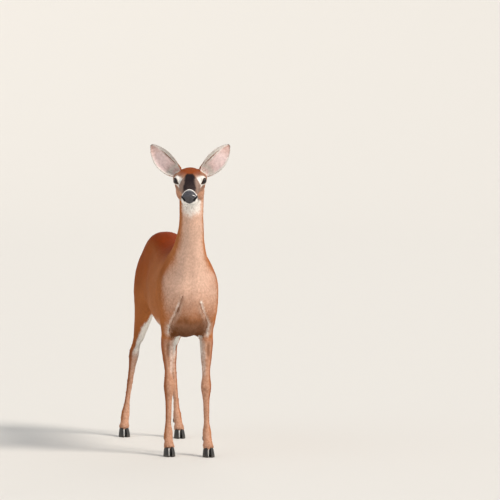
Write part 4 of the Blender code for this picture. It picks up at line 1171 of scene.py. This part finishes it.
def eyeMaterial():
    # living eye: brown iris under a clear wet cornea, so it is dark with one hard highlight
    made, tree, surface = newMaterial("wet brown eye", {"Roughness": 0.22, "IOR": 1.376, "Coat Weight": 1.0, "Coat Roughness": 0.02,
                                                        "Coat IOR": 1.34, "Specular IOR Level": 0.15})
    place = addNode(tree, "ShaderNodeAttribute", {"attribute_name": "eyePlace"}).outputs["Vector"]
    apart = addNode(tree, "ShaderNodeSeparateXYZ", {}, {0: place})
    squashed = addNode(tree, "ShaderNodeCombineXYZ", {}, {0: addNode(tree, "ShaderNodeMath", {"operation": "DIVIDE", 1: 0.50},
                       {0: apart.outputs[0]}).outputs[0], 1: addNode(tree, "ShaderNodeMath", {"operation": "DIVIDE", 1: 0.27},
                       {0: apart.outputs[1]}).outputs[0]})
    pupil = addNode(tree, "ShaderNodeVectorMath", {"operation": "LENGTH"}, {0: squashed.outputs[0]})
    inPupil = addNode(tree, "ShaderNodeMapRange", {"From Min": 1.06, "From Max": 0.92}, {"Value": pupil.outputs["Value"]})
    flat = addNode(tree, "ShaderNodeCombineXYZ", {}, {0: apart.outputs[0], 1: apart.outputs[1]})
    far = addNode(tree, "ShaderNodeVectorMath", {"operation": "LENGTH"}, {0: flat.outputs[0]}).outputs["Value"]
    angle = addNode(tree, "ShaderNodeMath", {"operation": "ARCTAN2"}, {0: apart.outputs[1], 1: apart.outputs[0]}).outputs[0]
    spokes = addNode(tree, "ShaderNodeCombineXYZ", {}, {0: addNode(tree, "ShaderNodeMath", {"operation": "MULTIPLY", 1: 9.0}, {0: angle}).outputs[0], 1: far})
    fibre = addNode(tree, "ShaderNodeTexNoise", {"Scale": 3.0, "Detail": 3.0}, {"Vector": spokes.outputs[0]})
    lit = addNode(tree, "ShaderNodeMapRange", {"From Min": 0.35, "From Max": 0.7}, {"Value": fibre.outputs["Fac"]})
    iris = mixed(tree, lit.outputs["Result"], eyeLook["irisRim"], eyeLook["iris"])
    rim = addNode(tree, "ShaderNodeMapRange", {"From Min": 0.66, "From Max": 0.76}, {"Value": far})
    iris = mixed(tree, rim.outputs["Result"], iris, eyeLook["irisRim"])
    white = addNode(tree, "ShaderNodeMapRange", {"From Min": 0.86, "From Max": 0.93}, {"Value": far})
    ball = mixed(tree, white.outputs["Result"], iris, eyeLook["white"])
    tree.links.new(mixed(tree, inPupil.outputs["Result"], ball, eyeLook["pupil"]), surface.inputs["Base Color"])
    return made


def tube(name, centres, radius, closed=True, corners=10):  # a round bead through these places
    centres = np.asarray(centres)
    way = unit(np.roll(centres, -1, 0) - np.roll(centres, 1, 0)) if closed else unit(np.gradient(centres, axis=0))
    aside = unit(np.cross(way, centres - centres.mean(0)))
    over = np.cross(aside, way)
    angle = np.linspace(0, 2 * np.pi, corners, endpoint=False)
    radius = np.broadcast_to(radius, len(centres))
    ring = centres[:, None] + radius[:, None, None] * (aside[:, None] * np.cos(angle)[:, None] + over[:, None] * np.sin(angle)[:, None])
    count = len(centres)
    i, j = np.meshgrid(np.arange(count if closed else count - 1), np.arange(corners), indexing="ij")
    faces = np.stack((i * corners + j, (i + 1) % count * corners + j, (i + 1) % count * corners + (j + 1) % corners,
                      i * corners + (j + 1) % corners), -1).reshape(-1, 4)
    return newObject(name, ring.reshape(-1, 3), faces)


eyeSurface = eyeMaterial()
# lid margin: bare, black and always wet
lidMargin, tree, surface = newMaterial("wet lid margin", {"Roughness": 0.30, "IOR": 1.42, "Coat Weight": 0.5, "Coat Roughness": 0.10})
grain = addNode(tree, "ShaderNodeTexNoise", {"Scale": 1 / (1.2 * mm), "Detail": 2.0}, {"Vector": addNode(tree, "ShaderNodeTexCoord").outputs["Object"]})
tree.links.new(mixed(tree, grain.outputs["Fac"], "#0c0807", "#241815"), surface.inputs["Base Color"])
bump = addNode(tree, "ShaderNodeBump", {"Strength": 0.4, "Distance": 0.0003}, {"Height": grain.outputs["Fac"]})
tree.links.new(bump.outputs["Normal"], surface.inputs["Normal"])

for name in sides:
    inner, up, gaze = eyeFrame(name)
    theta, phi = np.meshgrid(np.linspace(0, np.pi, eyeLook["rings"]), np.linspace(0, 2 * np.pi, eyeLook["spokes"], endpoint=False), indexing="ij")
    rise = eyeLook["corneaRise"] * ramp(math.radians(eyeLook["corneaAngle"]), math.radians(12), theta)
    radius = eyeRadius - 0.0002 + rise
    way = np.stack((np.sin(theta) * np.cos(phi), np.sin(theta) * np.sin(phi), np.cos(theta)), -1)
    ball = eyeCentre[name] + (way @ np.stack((inner, up, gaze))) * radius[..., None]
    count = eyeLook["spokes"]
    i, j = np.meshgrid(np.arange(eyeLook["rings"] - 1), np.arange(count), indexing="ij")
    faces = np.stack((i * count + j, i * count + (j + 1) % count, (i + 1) * count + (j + 1) % count, (i + 1) * count + j), -1).reshape(-1, 4)
    eye = newObject("eyeball_" + name, ball.reshape(-1, 3), faces)
    layer = eye.data.attributes.new("eyePlace", "FLOAT_VECTOR", "POINT")
    layer.data.foreach_set("vector", way.reshape(-1).astype(np.float32))
    eye.data.materials.append(eyeSurface)
    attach(eye, "root")
    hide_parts("eye_" + name)
    rim = lidRim(name)
    bead = 0.00045 + 0.00015 * np.sin(np.linspace(0, 2 * np.pi, len(rim), endpoint=False)) ** 2
    margin = tube("lid_margin_" + name, eyeCentre[name] + rim * (eyeRadius + 0.0007), bead)
    margin.data.materials.append(lidMargin)
    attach(margin, "root")
print("made the eyes")

# ---- nose pad: the bare skin laid over the skin's own nose

# the inside colour is painted shade for the nostrils' openings
padPlan = {"rise": 0.0007, "sink": 0.0009, "pebble": 2.0 * mm, "black": "#17151a", "grey": "#46434b", "inside": "#070606"}
padLevel = marks["pad"]
padFaces = skinFaces[(padLevel[skinFaces] > 0.01).any(1)]
used, padFaces = np.unique(padFaces, return_inverse=True)
padFaces = padFaces.reshape(-1, 3).astype(np.int32)
lift = padPlan["rise"] * ramp(0.45, 0.95, padLevel[used]) - padPlan["sink"] * ramp(0.45, 0.02, padLevel[used])
nosePad = newObject("nose_pad_skin", skinPoints[used] + skinNormals[used] * lift[:, None], padFaces)
# painted shade: the nostrils' insides, marked here, are coloured near black
hollow = np.zeros(len(used))
for comma in bothSides(nostrilPlan["comma"], 0.0):
    near = nearPath(toHead(skinPoints[used]), smoothPath(comma) + [0, 0.003, 0])[0]
    hollow = np.maximum(hollow, ramp(0.0068, 0.0036, near))
setMarks(nosePad.data, {"hollow": hollow})
# nose pad: hairless skin set in round pebbles with fine furrows between, moist, so it glints; the nostrils' insides are
# painted near black, painted shade in the openings
noseSkin, tree, surface = newMaterial("moist nose pad", {"Roughness": 0.34, "IOR": 1.40, "Specular IOR Level": 0.60, "Coat Weight": 0.85,
                                                         "Coat Roughness": 0.14})
place = addNode(tree, "ShaderNodeTexCoord").outputs["Object"]
pebble = addNode(tree, "ShaderNodeTexVoronoi", {"Scale": 1 / padPlan["pebble"], "feature": "DISTANCE_TO_EDGE"}, {"Vector": place})
furrow = addNode(tree, "ShaderNodeMapRange", {"From Min": 0.0, "From Max": 0.28}, {"Value": pebble.outputs["Distance"]})
inside = addNode(tree, "ShaderNodeAttribute", {"attribute_name": "hollow"}).outputs["Fac"]
padColour = mixed(tree, furrow.outputs["Result"], padPlan["black"], padPlan["grey"])
tree.links.new(mixed(tree, inside, padColour, padPlan["inside"]), surface.inputs["Base Color"])
rough = addNode(tree, "ShaderNodeMapRange", {"To Min": 0.50, "To Max": 0.30}, {"Value": furrow.outputs["Result"]})
tree.links.new(rough.outputs["Result"], surface.inputs["Roughness"])
bump = addNode(tree, "ShaderNodeBump", {"Strength": 0.7, "Distance": 0.0005}, {"Height": furrow.outputs["Result"]})
tree.links.new(bump.outputs["Normal"], surface.inputs["Normal"])
nosePad.data.materials.append(noseSkin)
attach(nosePad, "root")
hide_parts("nose_pad")

# ---- hooves and dewclaws

hoofPlan = {"ring": 2.8 * mm, "horn": "#1d1a18", "worn": "#4a4038", "overlap": 0.005}
# hoof horn: grows down in rings, black and hard, polished by grass and scuffed pale at the edge that wears
horn, tree, surface = newMaterial("hoof horn", {"Roughness": 0.42, "IOR": 1.54, "Specular IOR Level": 0.5})
place = addNode(tree, "ShaderNodeTexCoord").outputs["Object"]
height = addNode(tree, "ShaderNodeSeparateXYZ", {}, {0: place})
sway = addNode(tree, "ShaderNodeTexNoise", {"Scale": 1 / (14 * mm), "Detail": 2.0}, {"Vector": place})
level = addNode(tree, "ShaderNodeMath", {"operation": "MULTIPLY_ADD", 1: 0.004}, {0: sway.outputs["Fac"], 2: height.outputs["Z"]})
phase = addNode(tree, "ShaderNodeMath", {"operation": "MULTIPLY", 1: 2 * math.pi / hoofPlan["ring"]}, {0: level.outputs[0]})
rings = addNode(tree, "ShaderNodeMath", {"operation": "SINE"}, {0: phase.outputs[0]})
scuff = addNode(tree, "ShaderNodeTexNoise", {"Scale": 1 / (3 * mm), "Detail": 4.0}, {"Vector": place})
worn = addNode(tree, "ShaderNodeMapRange", {"From Min": 0.016, "From Max": 0.0}, {"Value": height.outputs["Z"]})
wornHere = addNode(tree, "ShaderNodeMath", {"operation": "MULTIPLY"}, {0: worn.outputs["Result"], 1: scuff.outputs["Fac"]})
tree.links.new(mixed(tree, wornHere.outputs[0], hoofPlan["horn"], hoofPlan["worn"]), surface.inputs["Base Color"])
rough = addNode(tree, "ShaderNodeMapRange", {"To Min": 0.34, "To Max": 0.60}, {"Value": scuff.outputs["Fac"]})
tree.links.new(rough.outputs["Result"], surface.inputs["Roughness"])
relief = addNode(tree, "ShaderNodeMath", {"operation": "MULTIPLY_ADD", 1: 0.35}, {0: rings.outputs[0], 2: scuff.outputs["Fac"]})
bump = addNode(tree, "ShaderNodeBump", {"Strength": 0.5, "Distance": 0.0005}, {"Height": relief.outputs[0]})
tree.links.new(bump.outputs["Normal"], surface.inputs["Normal"])

for name in [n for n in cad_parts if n.startswith(("hoof", "dewclaw"))]:
    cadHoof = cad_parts[name]
    bm = bmesh.new()
    bm.from_mesh(cadHoof.data)
    bmesh.ops.remove_doubles(bm, verts=bm.verts[:], dist=0.00002)
    bmesh.ops.dissolve_limit(bm, angle_limit=0.03, verts=bm.verts[:], edges=bm.edges[:])
    top = max(v.co.z for v in bm.verts)
    if name.startswith("hoof"):
        crease = bm.edges.layers.float.new("crease_edge")
        for edge in bm.edges:
            low = all(v.co.z < 0.001 for v in edge.verts)
            edge[crease] = 0.85 if low else 0.0
        for v in bm.verts:
            if v.co.z > top - 0.001:
                v.co.z += hoofPlan["overlap"]
    made = bpy.data.meshes.new(name + "_horn")
    bm.to_mesh(made)
    bm.free()
    piece = bpy.data.objects.new(name + "_horn", made)
    scene.collection.objects.link(piece)
    subdivide = piece.modifiers.new("rounded", "SUBSURF")
    subdivide.levels = subdivide.render_levels = 2
    made.polygons.foreach_set("use_smooth", np.ones(len(made.polygons), bool))
    made.materials.append(horn)
    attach(piece, "root")
    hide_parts(name)
print("made the nose pad and hooves")

# ---- the coat's tufts: which way the hair lies, then blades along it

headLie = [  # in the head's frame: place on her left, the hair's way there
    ((0, -0.225, -0.010), (0, 1, 0.12)), ((0, -0.135, 0.014), (0, 1, 0.06)), ((0, -0.060, 0.020), (0, 1, -0.1)),
    ((0, 0.000, 0.000), (0, 0.75, -0.65)), ((0.050, -0.100, -0.052), (0.10, 0.92, -0.38)), ((0.033, -0.190, -0.040), (0.12, 1, -0.15)),
    ((0, -0.240, -0.092), (0, 1, -0.05)), ((0, -0.120, -0.112), (0, 1, -0.2)), ((0.045, -0.102, 0.010), (0.20, 1, 0.05)),
    ((0.058, -0.050, -0.012), (0.10, 0.88, -0.48)), ((0.046, -0.030, -0.070), (0, 0.6, -0.8)), ((0.030, -0.235, -0.058), (0.1, 1, -0.25)),
]
bodyLie = [  # place, the hair's way there, on her left and mirrored
    ((0.0166, -0.400, 1.050), (0, 0.12, -1)), ((0.0200, -0.390, 0.900), (0, 0, -1)), ((0.075, -0.330, 0.900), (0.05, 0.32, -0.95)),
    ((0.0166, -0.285, 1.000), (0, 0.30, -0.95)), ((0.0166, -0.225, 0.900), (0, 0.60, -0.75)), ((0.0166, -0.140, 0.866), (0, 1, -0.05)),
    ((0.105, -0.270, 0.780), (0.05, 0.48, -0.88)), ((0.0166, -0.380, 0.750), (0, 0, -1)), ((0.085, -0.360, 0.660), (0.12, 0.22, -0.96)),
    ((0.0166, -0.375, 0.610), (0, 0.25, -0.97)), ((0.0166, -0.285, 0.500), (0, 1, -0.15)), ((0.0166, 0.000, 0.480), (0, 1, 0)),
    ((0.0166, 0.250, 0.530), (0, 1, 0.2)), ((0.118, -0.220, 0.680), (0, 0.42, -0.9)), ((0.112, -0.230, 0.560), (0, 0.30, -0.95)),
    ((0.110, 0.000, 0.790), (0.05, 0.93, -0.33)), ((0.135, 0.060, 0.660), (0, 0.93, -0.37)), ((0.110, 0.060, 0.540), (-0.1, 0.97, -0.20)),
    ((0.025, 0.100, 0.860), (0, 1, 0)), ((0.020, 0.300, 0.890), (0, 1, 0.08)), ((0.0166, 0.450, 0.895), (0, 0.92, -0.35)),
    ((0.100, 0.380, 0.800), (0.05, 0.84, -0.53)), ((0.125, 0.430, 0.660), (0, 0.42, -0.9)), ((0.128, 0.260, 0.680), (0, 0.80, -0.6)),
    ((0.060, 0.575, 0.720), (0.08, 0.08, -1)), ((0.112, 0.340, 0.580), (0, 0.42, -0.9)), ((0.092, 0.470, 0.480), (0, 0.15, -0.98)),
    ((0.090, -0.240, 0.400), (0, 0.05, -1)), ((0.085, -0.240, 0.200), (0, 0.05, -1)), ((0.080, 0.510, 0.300), (0, 0.0, -1)),
    ((0.080, 0.500, 0.150), (0, 0.0, -1)), ((0.0166, 0.600, 0.700), (0, 0.10, -1)), ((-0.12, 0.560, 0.250), (0, 0.0, -1)),
]


def hairWay(points, normals):  # the coat's lie, along the surface
    places, ways = [], []
    for guides, local in ((headLie, True), (bodyLie, False)):
        for place, way in guides:
            for side in (1, -1):
                p = np.array(place) * [side, 1, 1] if local else (np.array(place) - [midX, 0, 0]) * [side, 1, 1] + [midX, 0, 0]
                w = np.array(way) * [side, 1, 1]
                places.append(fromHead(p) if local else p)
                ways.append(headTurn @ w if local else w)
    total = np.zeros_like(points)
    for place, way in zip(places, ways):
        weight = 1 / (((points - place) ** 2).sum(1) + 0.0009) ** 1.6
        total += weight[:, None] * unit(way)
    return alongSurface(total, normals)


def alongSurface(ways, normals):
    return unit(ways - normals * (ways * normals).sum(1)[:, None])


local = toHead(skinPoints)
lidGap, lidUp, lidInner = eyeGaps(skinPoints)
earU, earV, earInner, onEar, earOutward = earPlaces(skinPoints)
earInner = ramp(0.10, -0.10, (skinNormals @ headTurn * earOutward).sum(1)) * onEar
headShare, earShare = share(("head",), skinLabels), share(("ear",), skinLabels)
skinWay = hairWay(skinPoints, skinNormals)
for name, side in sides.items():
    across, facing, along = (headTurn @ a for a in earAxes(side))
    mine = (onEar > 0) & (local[:, 0] * side > 0)
    fan = along + across * (0.45 * earV * side)[:, None]
    skinWay[mine] = alongSurface(fan, skinNormals)[mine]
    # round the eye the hair parts and runs away from the lids
    away = skinPoints - eyeCentre[name]
    gaze = eyeFrame(name)[2]
    outward = unit(away - gaze * (away @ gaze)[:, None])
    parting = 1.6 * ramp(0.012, 0.002, lidGap) * (np.linalg.norm(away, axis=1) < 0.05)
    skinWay = alongSurface(skinWay + outward * parting[:, None], skinNormals)
skinWay = unit(soften(skinWay, skinEdges, 4))

x, y, z = skinPoints[:, 0] - midX, skinPoints[:, 1], skinPoints[:, 2]
bare = np.maximum(marks["pad"], ramp(0.0011, 0.0006, lidGap))
bare = np.maximum(bare, ramp(0.0012, 0.0006, mouthGap(local)[1]) * (local[:, 1] < -0.19))
longer, higher = np.ones(len(skinPoints)), np.ones(len(skinPoints))
# where the coat is longer or shorter, and stands off more or less: where, by how much each
face = headShare * ramp(-0.100, -0.200, local[:, 1])
round_ = lambda place, radii: np.exp(-(((skinPoints - place) / radii) ** 2).sum(1))
bellyLine = ramp(0.35, 0.85, -skinNormals[:, 2]) * share(("trunk",), skinLabels)
rear = ramp(0.35, 0.85, skinNormals[:, 1]) * share(("thigh", "trunk"), skinLabels) * ramp(0.40, 0.50, z)
throat = share(("neck",), skinLabels) * ramp(0.2, 0.8, -skinNormals[:, 1]) * ramp(0.93, 1.00, z)
tarsal = np.exp(-((z - 0.36) / 0.030) ** 2) * share(("hind_shank", "thigh"), skinLabels)
coronet = ramp(0.075, 0.052, z)
changes = [(face, -0.35, -0.35), (headShare * ramp(0.020, 0.006, lidGap), -0.45, -0.4), (bellyLine, 0.35, 0.8),
           (round_((midX, -0.27, 0.50), (0.07, 0.10, 0.05)), 0.2, 0.7), (rear, 0.55, 0.9), (throat, 0.15, 0.15),
           (tarsal, 0.7, 1.5), (round_(whorl, 0.014), 0.0, 1.6), (coronet, 0.25, 0.2)]
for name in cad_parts:
    if name.startswith("dewclaw"):
        low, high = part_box(name)
        top = (np.array(low) + np.array(high)) / 2 * [1, 1, 0] + [0, 0, high[2]]
        changes.append((round_(top, 0.012), 1.0, 9.0))
for where, length, lift in changes:
    longer *= 1 + length * where
    higher *= 1 + lift * where

everywhere = np.ones(len(skinPoints))
tuftMarks = {key: value for key, value in marks.items() if key != "pad"}
tuftMarks["dark"] = marks["dark"] * ramp(0.0016, 0.0030, lidGap)  # the lids' black rim is bare skin
# fewer tufts grow in the ears' fold grooves, so the painted fold shadow shows through
foldLine = np.clip(-earFold(earU, earV, 1) / 0.0034 - 0.35, 0, 1) * earInner * onEar
cupHair = earInner * onEar * np.maximum(ramp(-0.50, -0.80, earV), ramp(0.24, 0.02, earU)) * ramp(0.85, 0.5, earU)
cupHair = np.maximum(cupHair, 0.8 * (1 - onEar) * marks["white"] * ramp(0.055, 0.035, np.linalg.norm(
    np.abs(local) * [1, 0, 0] + local * [0, 1, 1] - earPlan["root"], axis=1)))
fringe = onEar * ramp(0.90, 0.99, np.maximum(np.abs(earV), earU))
# each coat piece: the nodes it grows on, how many tufts, length and width and how far tips stand off in mm, how much
# they stray, and how thickly they grow where
coatPieces = {
    "coat_neck": {"nodes": ("neck",), "count": 19000, "length": 14, "width": 2.7, "lift": 0.55, "stray": 0.16},
    "coat_trunk_fore": {"nodes": ("trunk",), "count": 32500, "length": 15, "width": 2.9, "lift": 0.55, "stray": 0.15,
                        "where": ramp(0.025, 0.015, y)},
    "coat_trunk_hind": {"nodes": ("trunk",), "count": 32000, "length": 16, "width": 3.0, "lift": 0.58, "stray": 0.15,
                        "where": ramp(0.015, 0.025, y)},
    "coat_thighs": {"nodes": ("thigh",), "count": 31000, "length": 14, "width": 2.8, "lift": 0.55, "stray": 0.15},
    "coat_legs": {"nodes": ("forearm", "fore_shank", "hind_shank"), "count": 33000, "length": 7.5, "width": 1.7, "lift": 0.45,
                  "stray": 0.14},
    "coat_head": {"nodes": ("head",), "count": 33000, "length": 5.8, "width": 1.15, "lift": 0.36, "stray": 0.18,
                  "where": 1 + 0.8 * face},
    "coat_ears": {"nodes": ("ear",), "count": 24000, "length": 4.2, "width": 0.85, "lift": 0.35, "stray": 0.22,
                  "where": (1 - 0.60 * earInner * onEar) * (1 - foldLine)},
    "ear_hair": {"nodes": ("ear", "head"), "count": 2600, "length": 14, "width": 0.75, "lift": 2.4, "stray": 0.22,
                 "where": cupHair * (1 - foldLine)},
    "ear_fringe": {"nodes": ("ear",), "count": 3000, "length": 3.8, "width": 0.7, "lift": 0.5, "stray": 0.25, "where": fringe},
    "coat_tail": {"nodes": ("tail",), "count": 6000, "length": 36, "width": 2.8, "lift": 3.6, "stray": 0.18},
}
blade = {"sink": 0.5 * mm, "bend": 0.55, "ridge": 0.17}  # how deep roots sit, where along it bends, how high its ridge by its width


def growTufts(name, plan, seed):
    rng = np.random.default_rng(seed)
    corners = [skinPoints[skinFaces[:, i]] for i in range(3)]
    area = np.linalg.norm(np.cross(corners[1] - corners[0], corners[2] - corners[0]), axis=1) / 2
    grows = share(plan["nodes"], skinLabels) * plan.get("where", everywhere)
    area *= np.maximum(grows[skinFaces].mean(1), 0) * (bare[skinFaces].max(1) < 0.25)
    total = np.cumsum(area)
    count = plan["count"]
    spots = (np.arange(count) + rng.random(count)) / count * total[-1]
    face = np.minimum(np.searchsorted(total, spots), len(area) - 1)
    r1, r2 = np.sqrt(rng.random(count)), rng.random(count)
    weights = np.stack((1 - r1, r1 * (1 - r2), r1 * r2), 1)

    def atRoots(values):
        return (values[skinFaces[face]] * (weights[:, :, None] if values.ndim == 2 else weights)).sum(1)

    root, normal = atRoots(skinPoints), unit(atRoots(skinNormals))
    size = atRoots(longer) * (0.75 + 0.5 * rng.random(count))
    length, width = plan["length"] * mm * size, plan["width"] * mm * np.sqrt(size) * (0.8 + 0.4 * rng.random(count))
    lift = plan["lift"] * mm * atRoots(higher) * (0.5 + rng.random(count))
    turn = rng.normal(0, plan["stray"], count) + 0.25 * softNoise(root, 0.045, 21)
    way = atRoots(skinWay)
    way = alongSurface(way * np.cos(turn)[:, None] + np.cross(normal, way) * np.sin(turn)[:, None], normal)
    across = unit(np.cross(normal, way))
    sway = across * (rng.normal(0, 0.09, count) * length)[:, None]
    half = across * (width / 2)[:, None]
    crest = normal * (width * blade["ridge"])[:, None]
    start = root - normal * blade["sink"]
    middle = root + way * (length * blade["bend"])[:, None] + normal * (lift * 0.70)[:, None] + sway * 0.35
    tip = root + way * length[:, None] + normal * lift[:, None] + sway
    points = np.stack((start - half * 0.8, start + crest * 0.9, start + half * 0.8, middle - half, middle + crest, middle + half, tip), 1)
    base = np.arange(count)[:, None] * 7
    quads = np.concatenate((base + [0, 3, 4, 1], base + [1, 4, 5, 2]))
    tips = np.concatenate((base + [3, 6, 4], base + [4, 6, 5]))
    loops = np.concatenate((quads.ravel(), tips.ravel())).astype(np.int32)
    starts = np.concatenate((np.arange(len(quads)) * 4, len(quads) * 4 + np.arange(len(tips)) * 3)).astype(np.int32)
    mesh = bpy.data.meshes.new(name)
    mesh.vertices.add(count * 7)
    mesh.vertices.foreach_set("co", points.reshape(-1).astype(np.float32))
    mesh.loops.add(len(loops))
    mesh.loops.foreach_set("vertex_index", loops)
    mesh.polygons.add(len(starts))
    mesh.polygons.foreach_set("loop_start", starts)
    mesh.update(calc_edges=True)
    mesh.polygons.foreach_set("use_smooth", np.ones(len(starts), bool))
    # tufts take their shading from the skin under them, so that they lie sleek
    lean = unit(across) * 0.30
    shading = np.stack((normal - lean, normal, normal + lean, normal - lean, normal, normal + lean, normal), 1)
    mesh.normals_split_custom_set_from_vertices(unit(shading.reshape(-1, 3)))
    # the map keeps each tuft as a small patch at its root's place on the skin's own unwrap
    uv = (skinUv[face] * weights[:, :, None]).sum(1)
    patch = np.array([(-1, -1), (0, -1), (1, -1), (-1, 0), (0, 0), (1, 0), (0, 1)]) * mapPlan["tuft"] / 2
    places = (uv[:, None] + patch).reshape(-1, 2)
    mesh.uv_layers.new(name="OFBake").data.foreach_set("uv", places[loops].reshape(-1).astype(np.float32))
    values = {key: np.repeat(atRoots(value), 7) for key, value in tuftMarks.items()}
    setMarks(mesh, values, {"strand": np.repeat(rng.random(count), 7), "tip": np.tile([0, 0, 0, 0.5, 0.5, 0.5, 1.0], count)})
    coat = bpy.data.objects.new(name, mesh)
    scene.collection.objects.link(coat)
    mesh.materials.append(coatTufts)
    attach(coat, "root")
    return count * 6


triangles = len(skinFaces)
for number, (name, plan) in enumerate(coatPieces.items()):
    triangles += growTufts(name, plan, 100 + number)
print("grew the coat:", triangles, "triangles with the skin")

# ---- lashes and whiskers

bristlePlan = {"lashes": 30, "lashLength": 8.5 * mm, "lashWidth": 0.22 * mm, "whiskers": 13, "whiskerLength": 17 * mm,
               "whiskerWidth": 0.20 * mm, "black": "#0d0b0b"}
# lashes and whiskers: stiff black hair, smooth enough to shine a little along each
bristle, tree, surface = newMaterial("stiff black bristle", {"Base Color": linearColour(bristlePlan["black"]), "Roughness": 0.38})


def bristles(name, roots, ways, bends, lengths, width):  # curved three-sided hairs that taper to a point
    points, faces = [], []
    for root, way, bend, length in zip(roots, ways, bends, lengths):
        t = np.linspace(0, 1, 6)[:, None]
        line = root + way * length * t + bend * length * t * t
        aside = unit(np.cross(way, bend + [0.01, 0.02, 0.03]))
        over = unit(np.cross(way, aside))
        first = len(points)
        for place, thick in zip(line[:-1], width * (1 - 0.8 * t[:-1, 0])):
            points += [place + thick * (aside * math.cos(a) + over * math.sin(a)) for a in (0, 2.094, 4.189)]
        points.append(line[-1])
        for ring in range(4):
            low = first + ring * 3
            faces += [(low + k, low + (k + 1) % 3, low + 3 + (k + 1) % 3, low + 3 + k) for k in range(3)]
        faces += [(first + 12 + k, first + 12 + (k + 1) % 3, first + 15) for k in range(3)]
    made = bpy.data.meshes.new(name)
    made.from_pydata(np.array(points).tolist(), [], faces)
    made.polygons.foreach_set("use_smooth", np.ones(len(faces), bool))
    obj = bpy.data.objects.new(name, made)
    scene.collection.objects.link(obj)
    made.materials.append(bristle)
    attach(obj, "root")


rng = np.random.default_rng(7)
for name, side in sides.items():
    inner, up, gaze = eyeFrame(name)
    along = np.linspace(-0.78, 0.52, bristlePlan["lashes"])
    high = lidHeights(along)[0]
    roots = along[:, None] * inner + high[:, None] * up + np.sqrt(np.maximum(1 - along ** 2 - high ** 2, 0.02))[:, None] * gaze
    roots = eyeCentre[name] + unit(roots) * (eyeRadius + 0.0012)
    ways = unit(gaze + 0.45 * up + inner * (0.55 * along)[:, None] + rng.normal(0, 0.09, (len(along), 3)))
    lengths = bristlePlan["lashLength"] * (0.7 + 0.4 * rng.random(len(along))) * (1 - 0.45 * np.abs(along) ** 2)
    bristles("lashes_" + name, roots, ways, -0.35 * up + 0 * ways, lengths, bristlePlan["lashWidth"])
    spots = np.array([0.029, -0.232, -0.050]) + rng.normal(0, 1, (bristlePlan["whiskers"], 3)) * (0.001, 0.013, 0.007)
    spots = np.concatenate((spots, np.array([0.012, -0.245, -0.086]) + rng.normal(0, 1, (5, 3)) * (0.004, 0.008, 0.001)))
    nearest = [((local - spot * [side, 1, 1]) ** 2).sum(1).argmin() for spot in spots]
    ways = unit(skinNormals[nearest] + 0.9 * skinWay[nearest] + rng.normal(0, 0.12, (len(spots), 3)))
    lengths = bristlePlan["whiskerLength"] * (0.6 + 0.6 * rng.random(len(spots)))
    bristles("whiskers_" + name, skinPoints[nearest], ways, np.array((0, 0, -0.25)) + 0 * ways, lengths, bristlePlan["whiskerWidth"])
print("set the lashes and whiskers")

# ---- floor

share_ = np.linspace(0, 1, 24)
profile = [(0, 0), (studio["flat"] * 0.4, 0)] + [(studio["flat"] + studio["sweep"] * t, studio["rise"] * t * t) for t in share_]
around = np.linspace(0, 2 * np.pi, 96, endpoint=False)
rings = np.array([[(r * np.cos(a), r * np.sin(a), h) for a in around] for r, h in profile])
i, j = np.meshgrid(np.arange(len(profile) - 1), np.arange(96), indexing="ij")
floorFaces = np.stack((i * 96 + j, i * 96 + (j + 1) % 96, (i + 1) * 96 + (j + 1) % 96, (i + 1) * 96 + j), -1).reshape(-1, 4)
floor = newObject("floor", rings.reshape(-1, 3), floorFaces)  # a flat floor that sweeps up far away, so no edge shows
# floor: matt studio vinyl
vinyl, tree, surface = newMaterial("matt vinyl floor", {"Base Color": linearColour(studio["floor"]), "Roughness": 0.85})
floor.data.materials.append(vinyl)
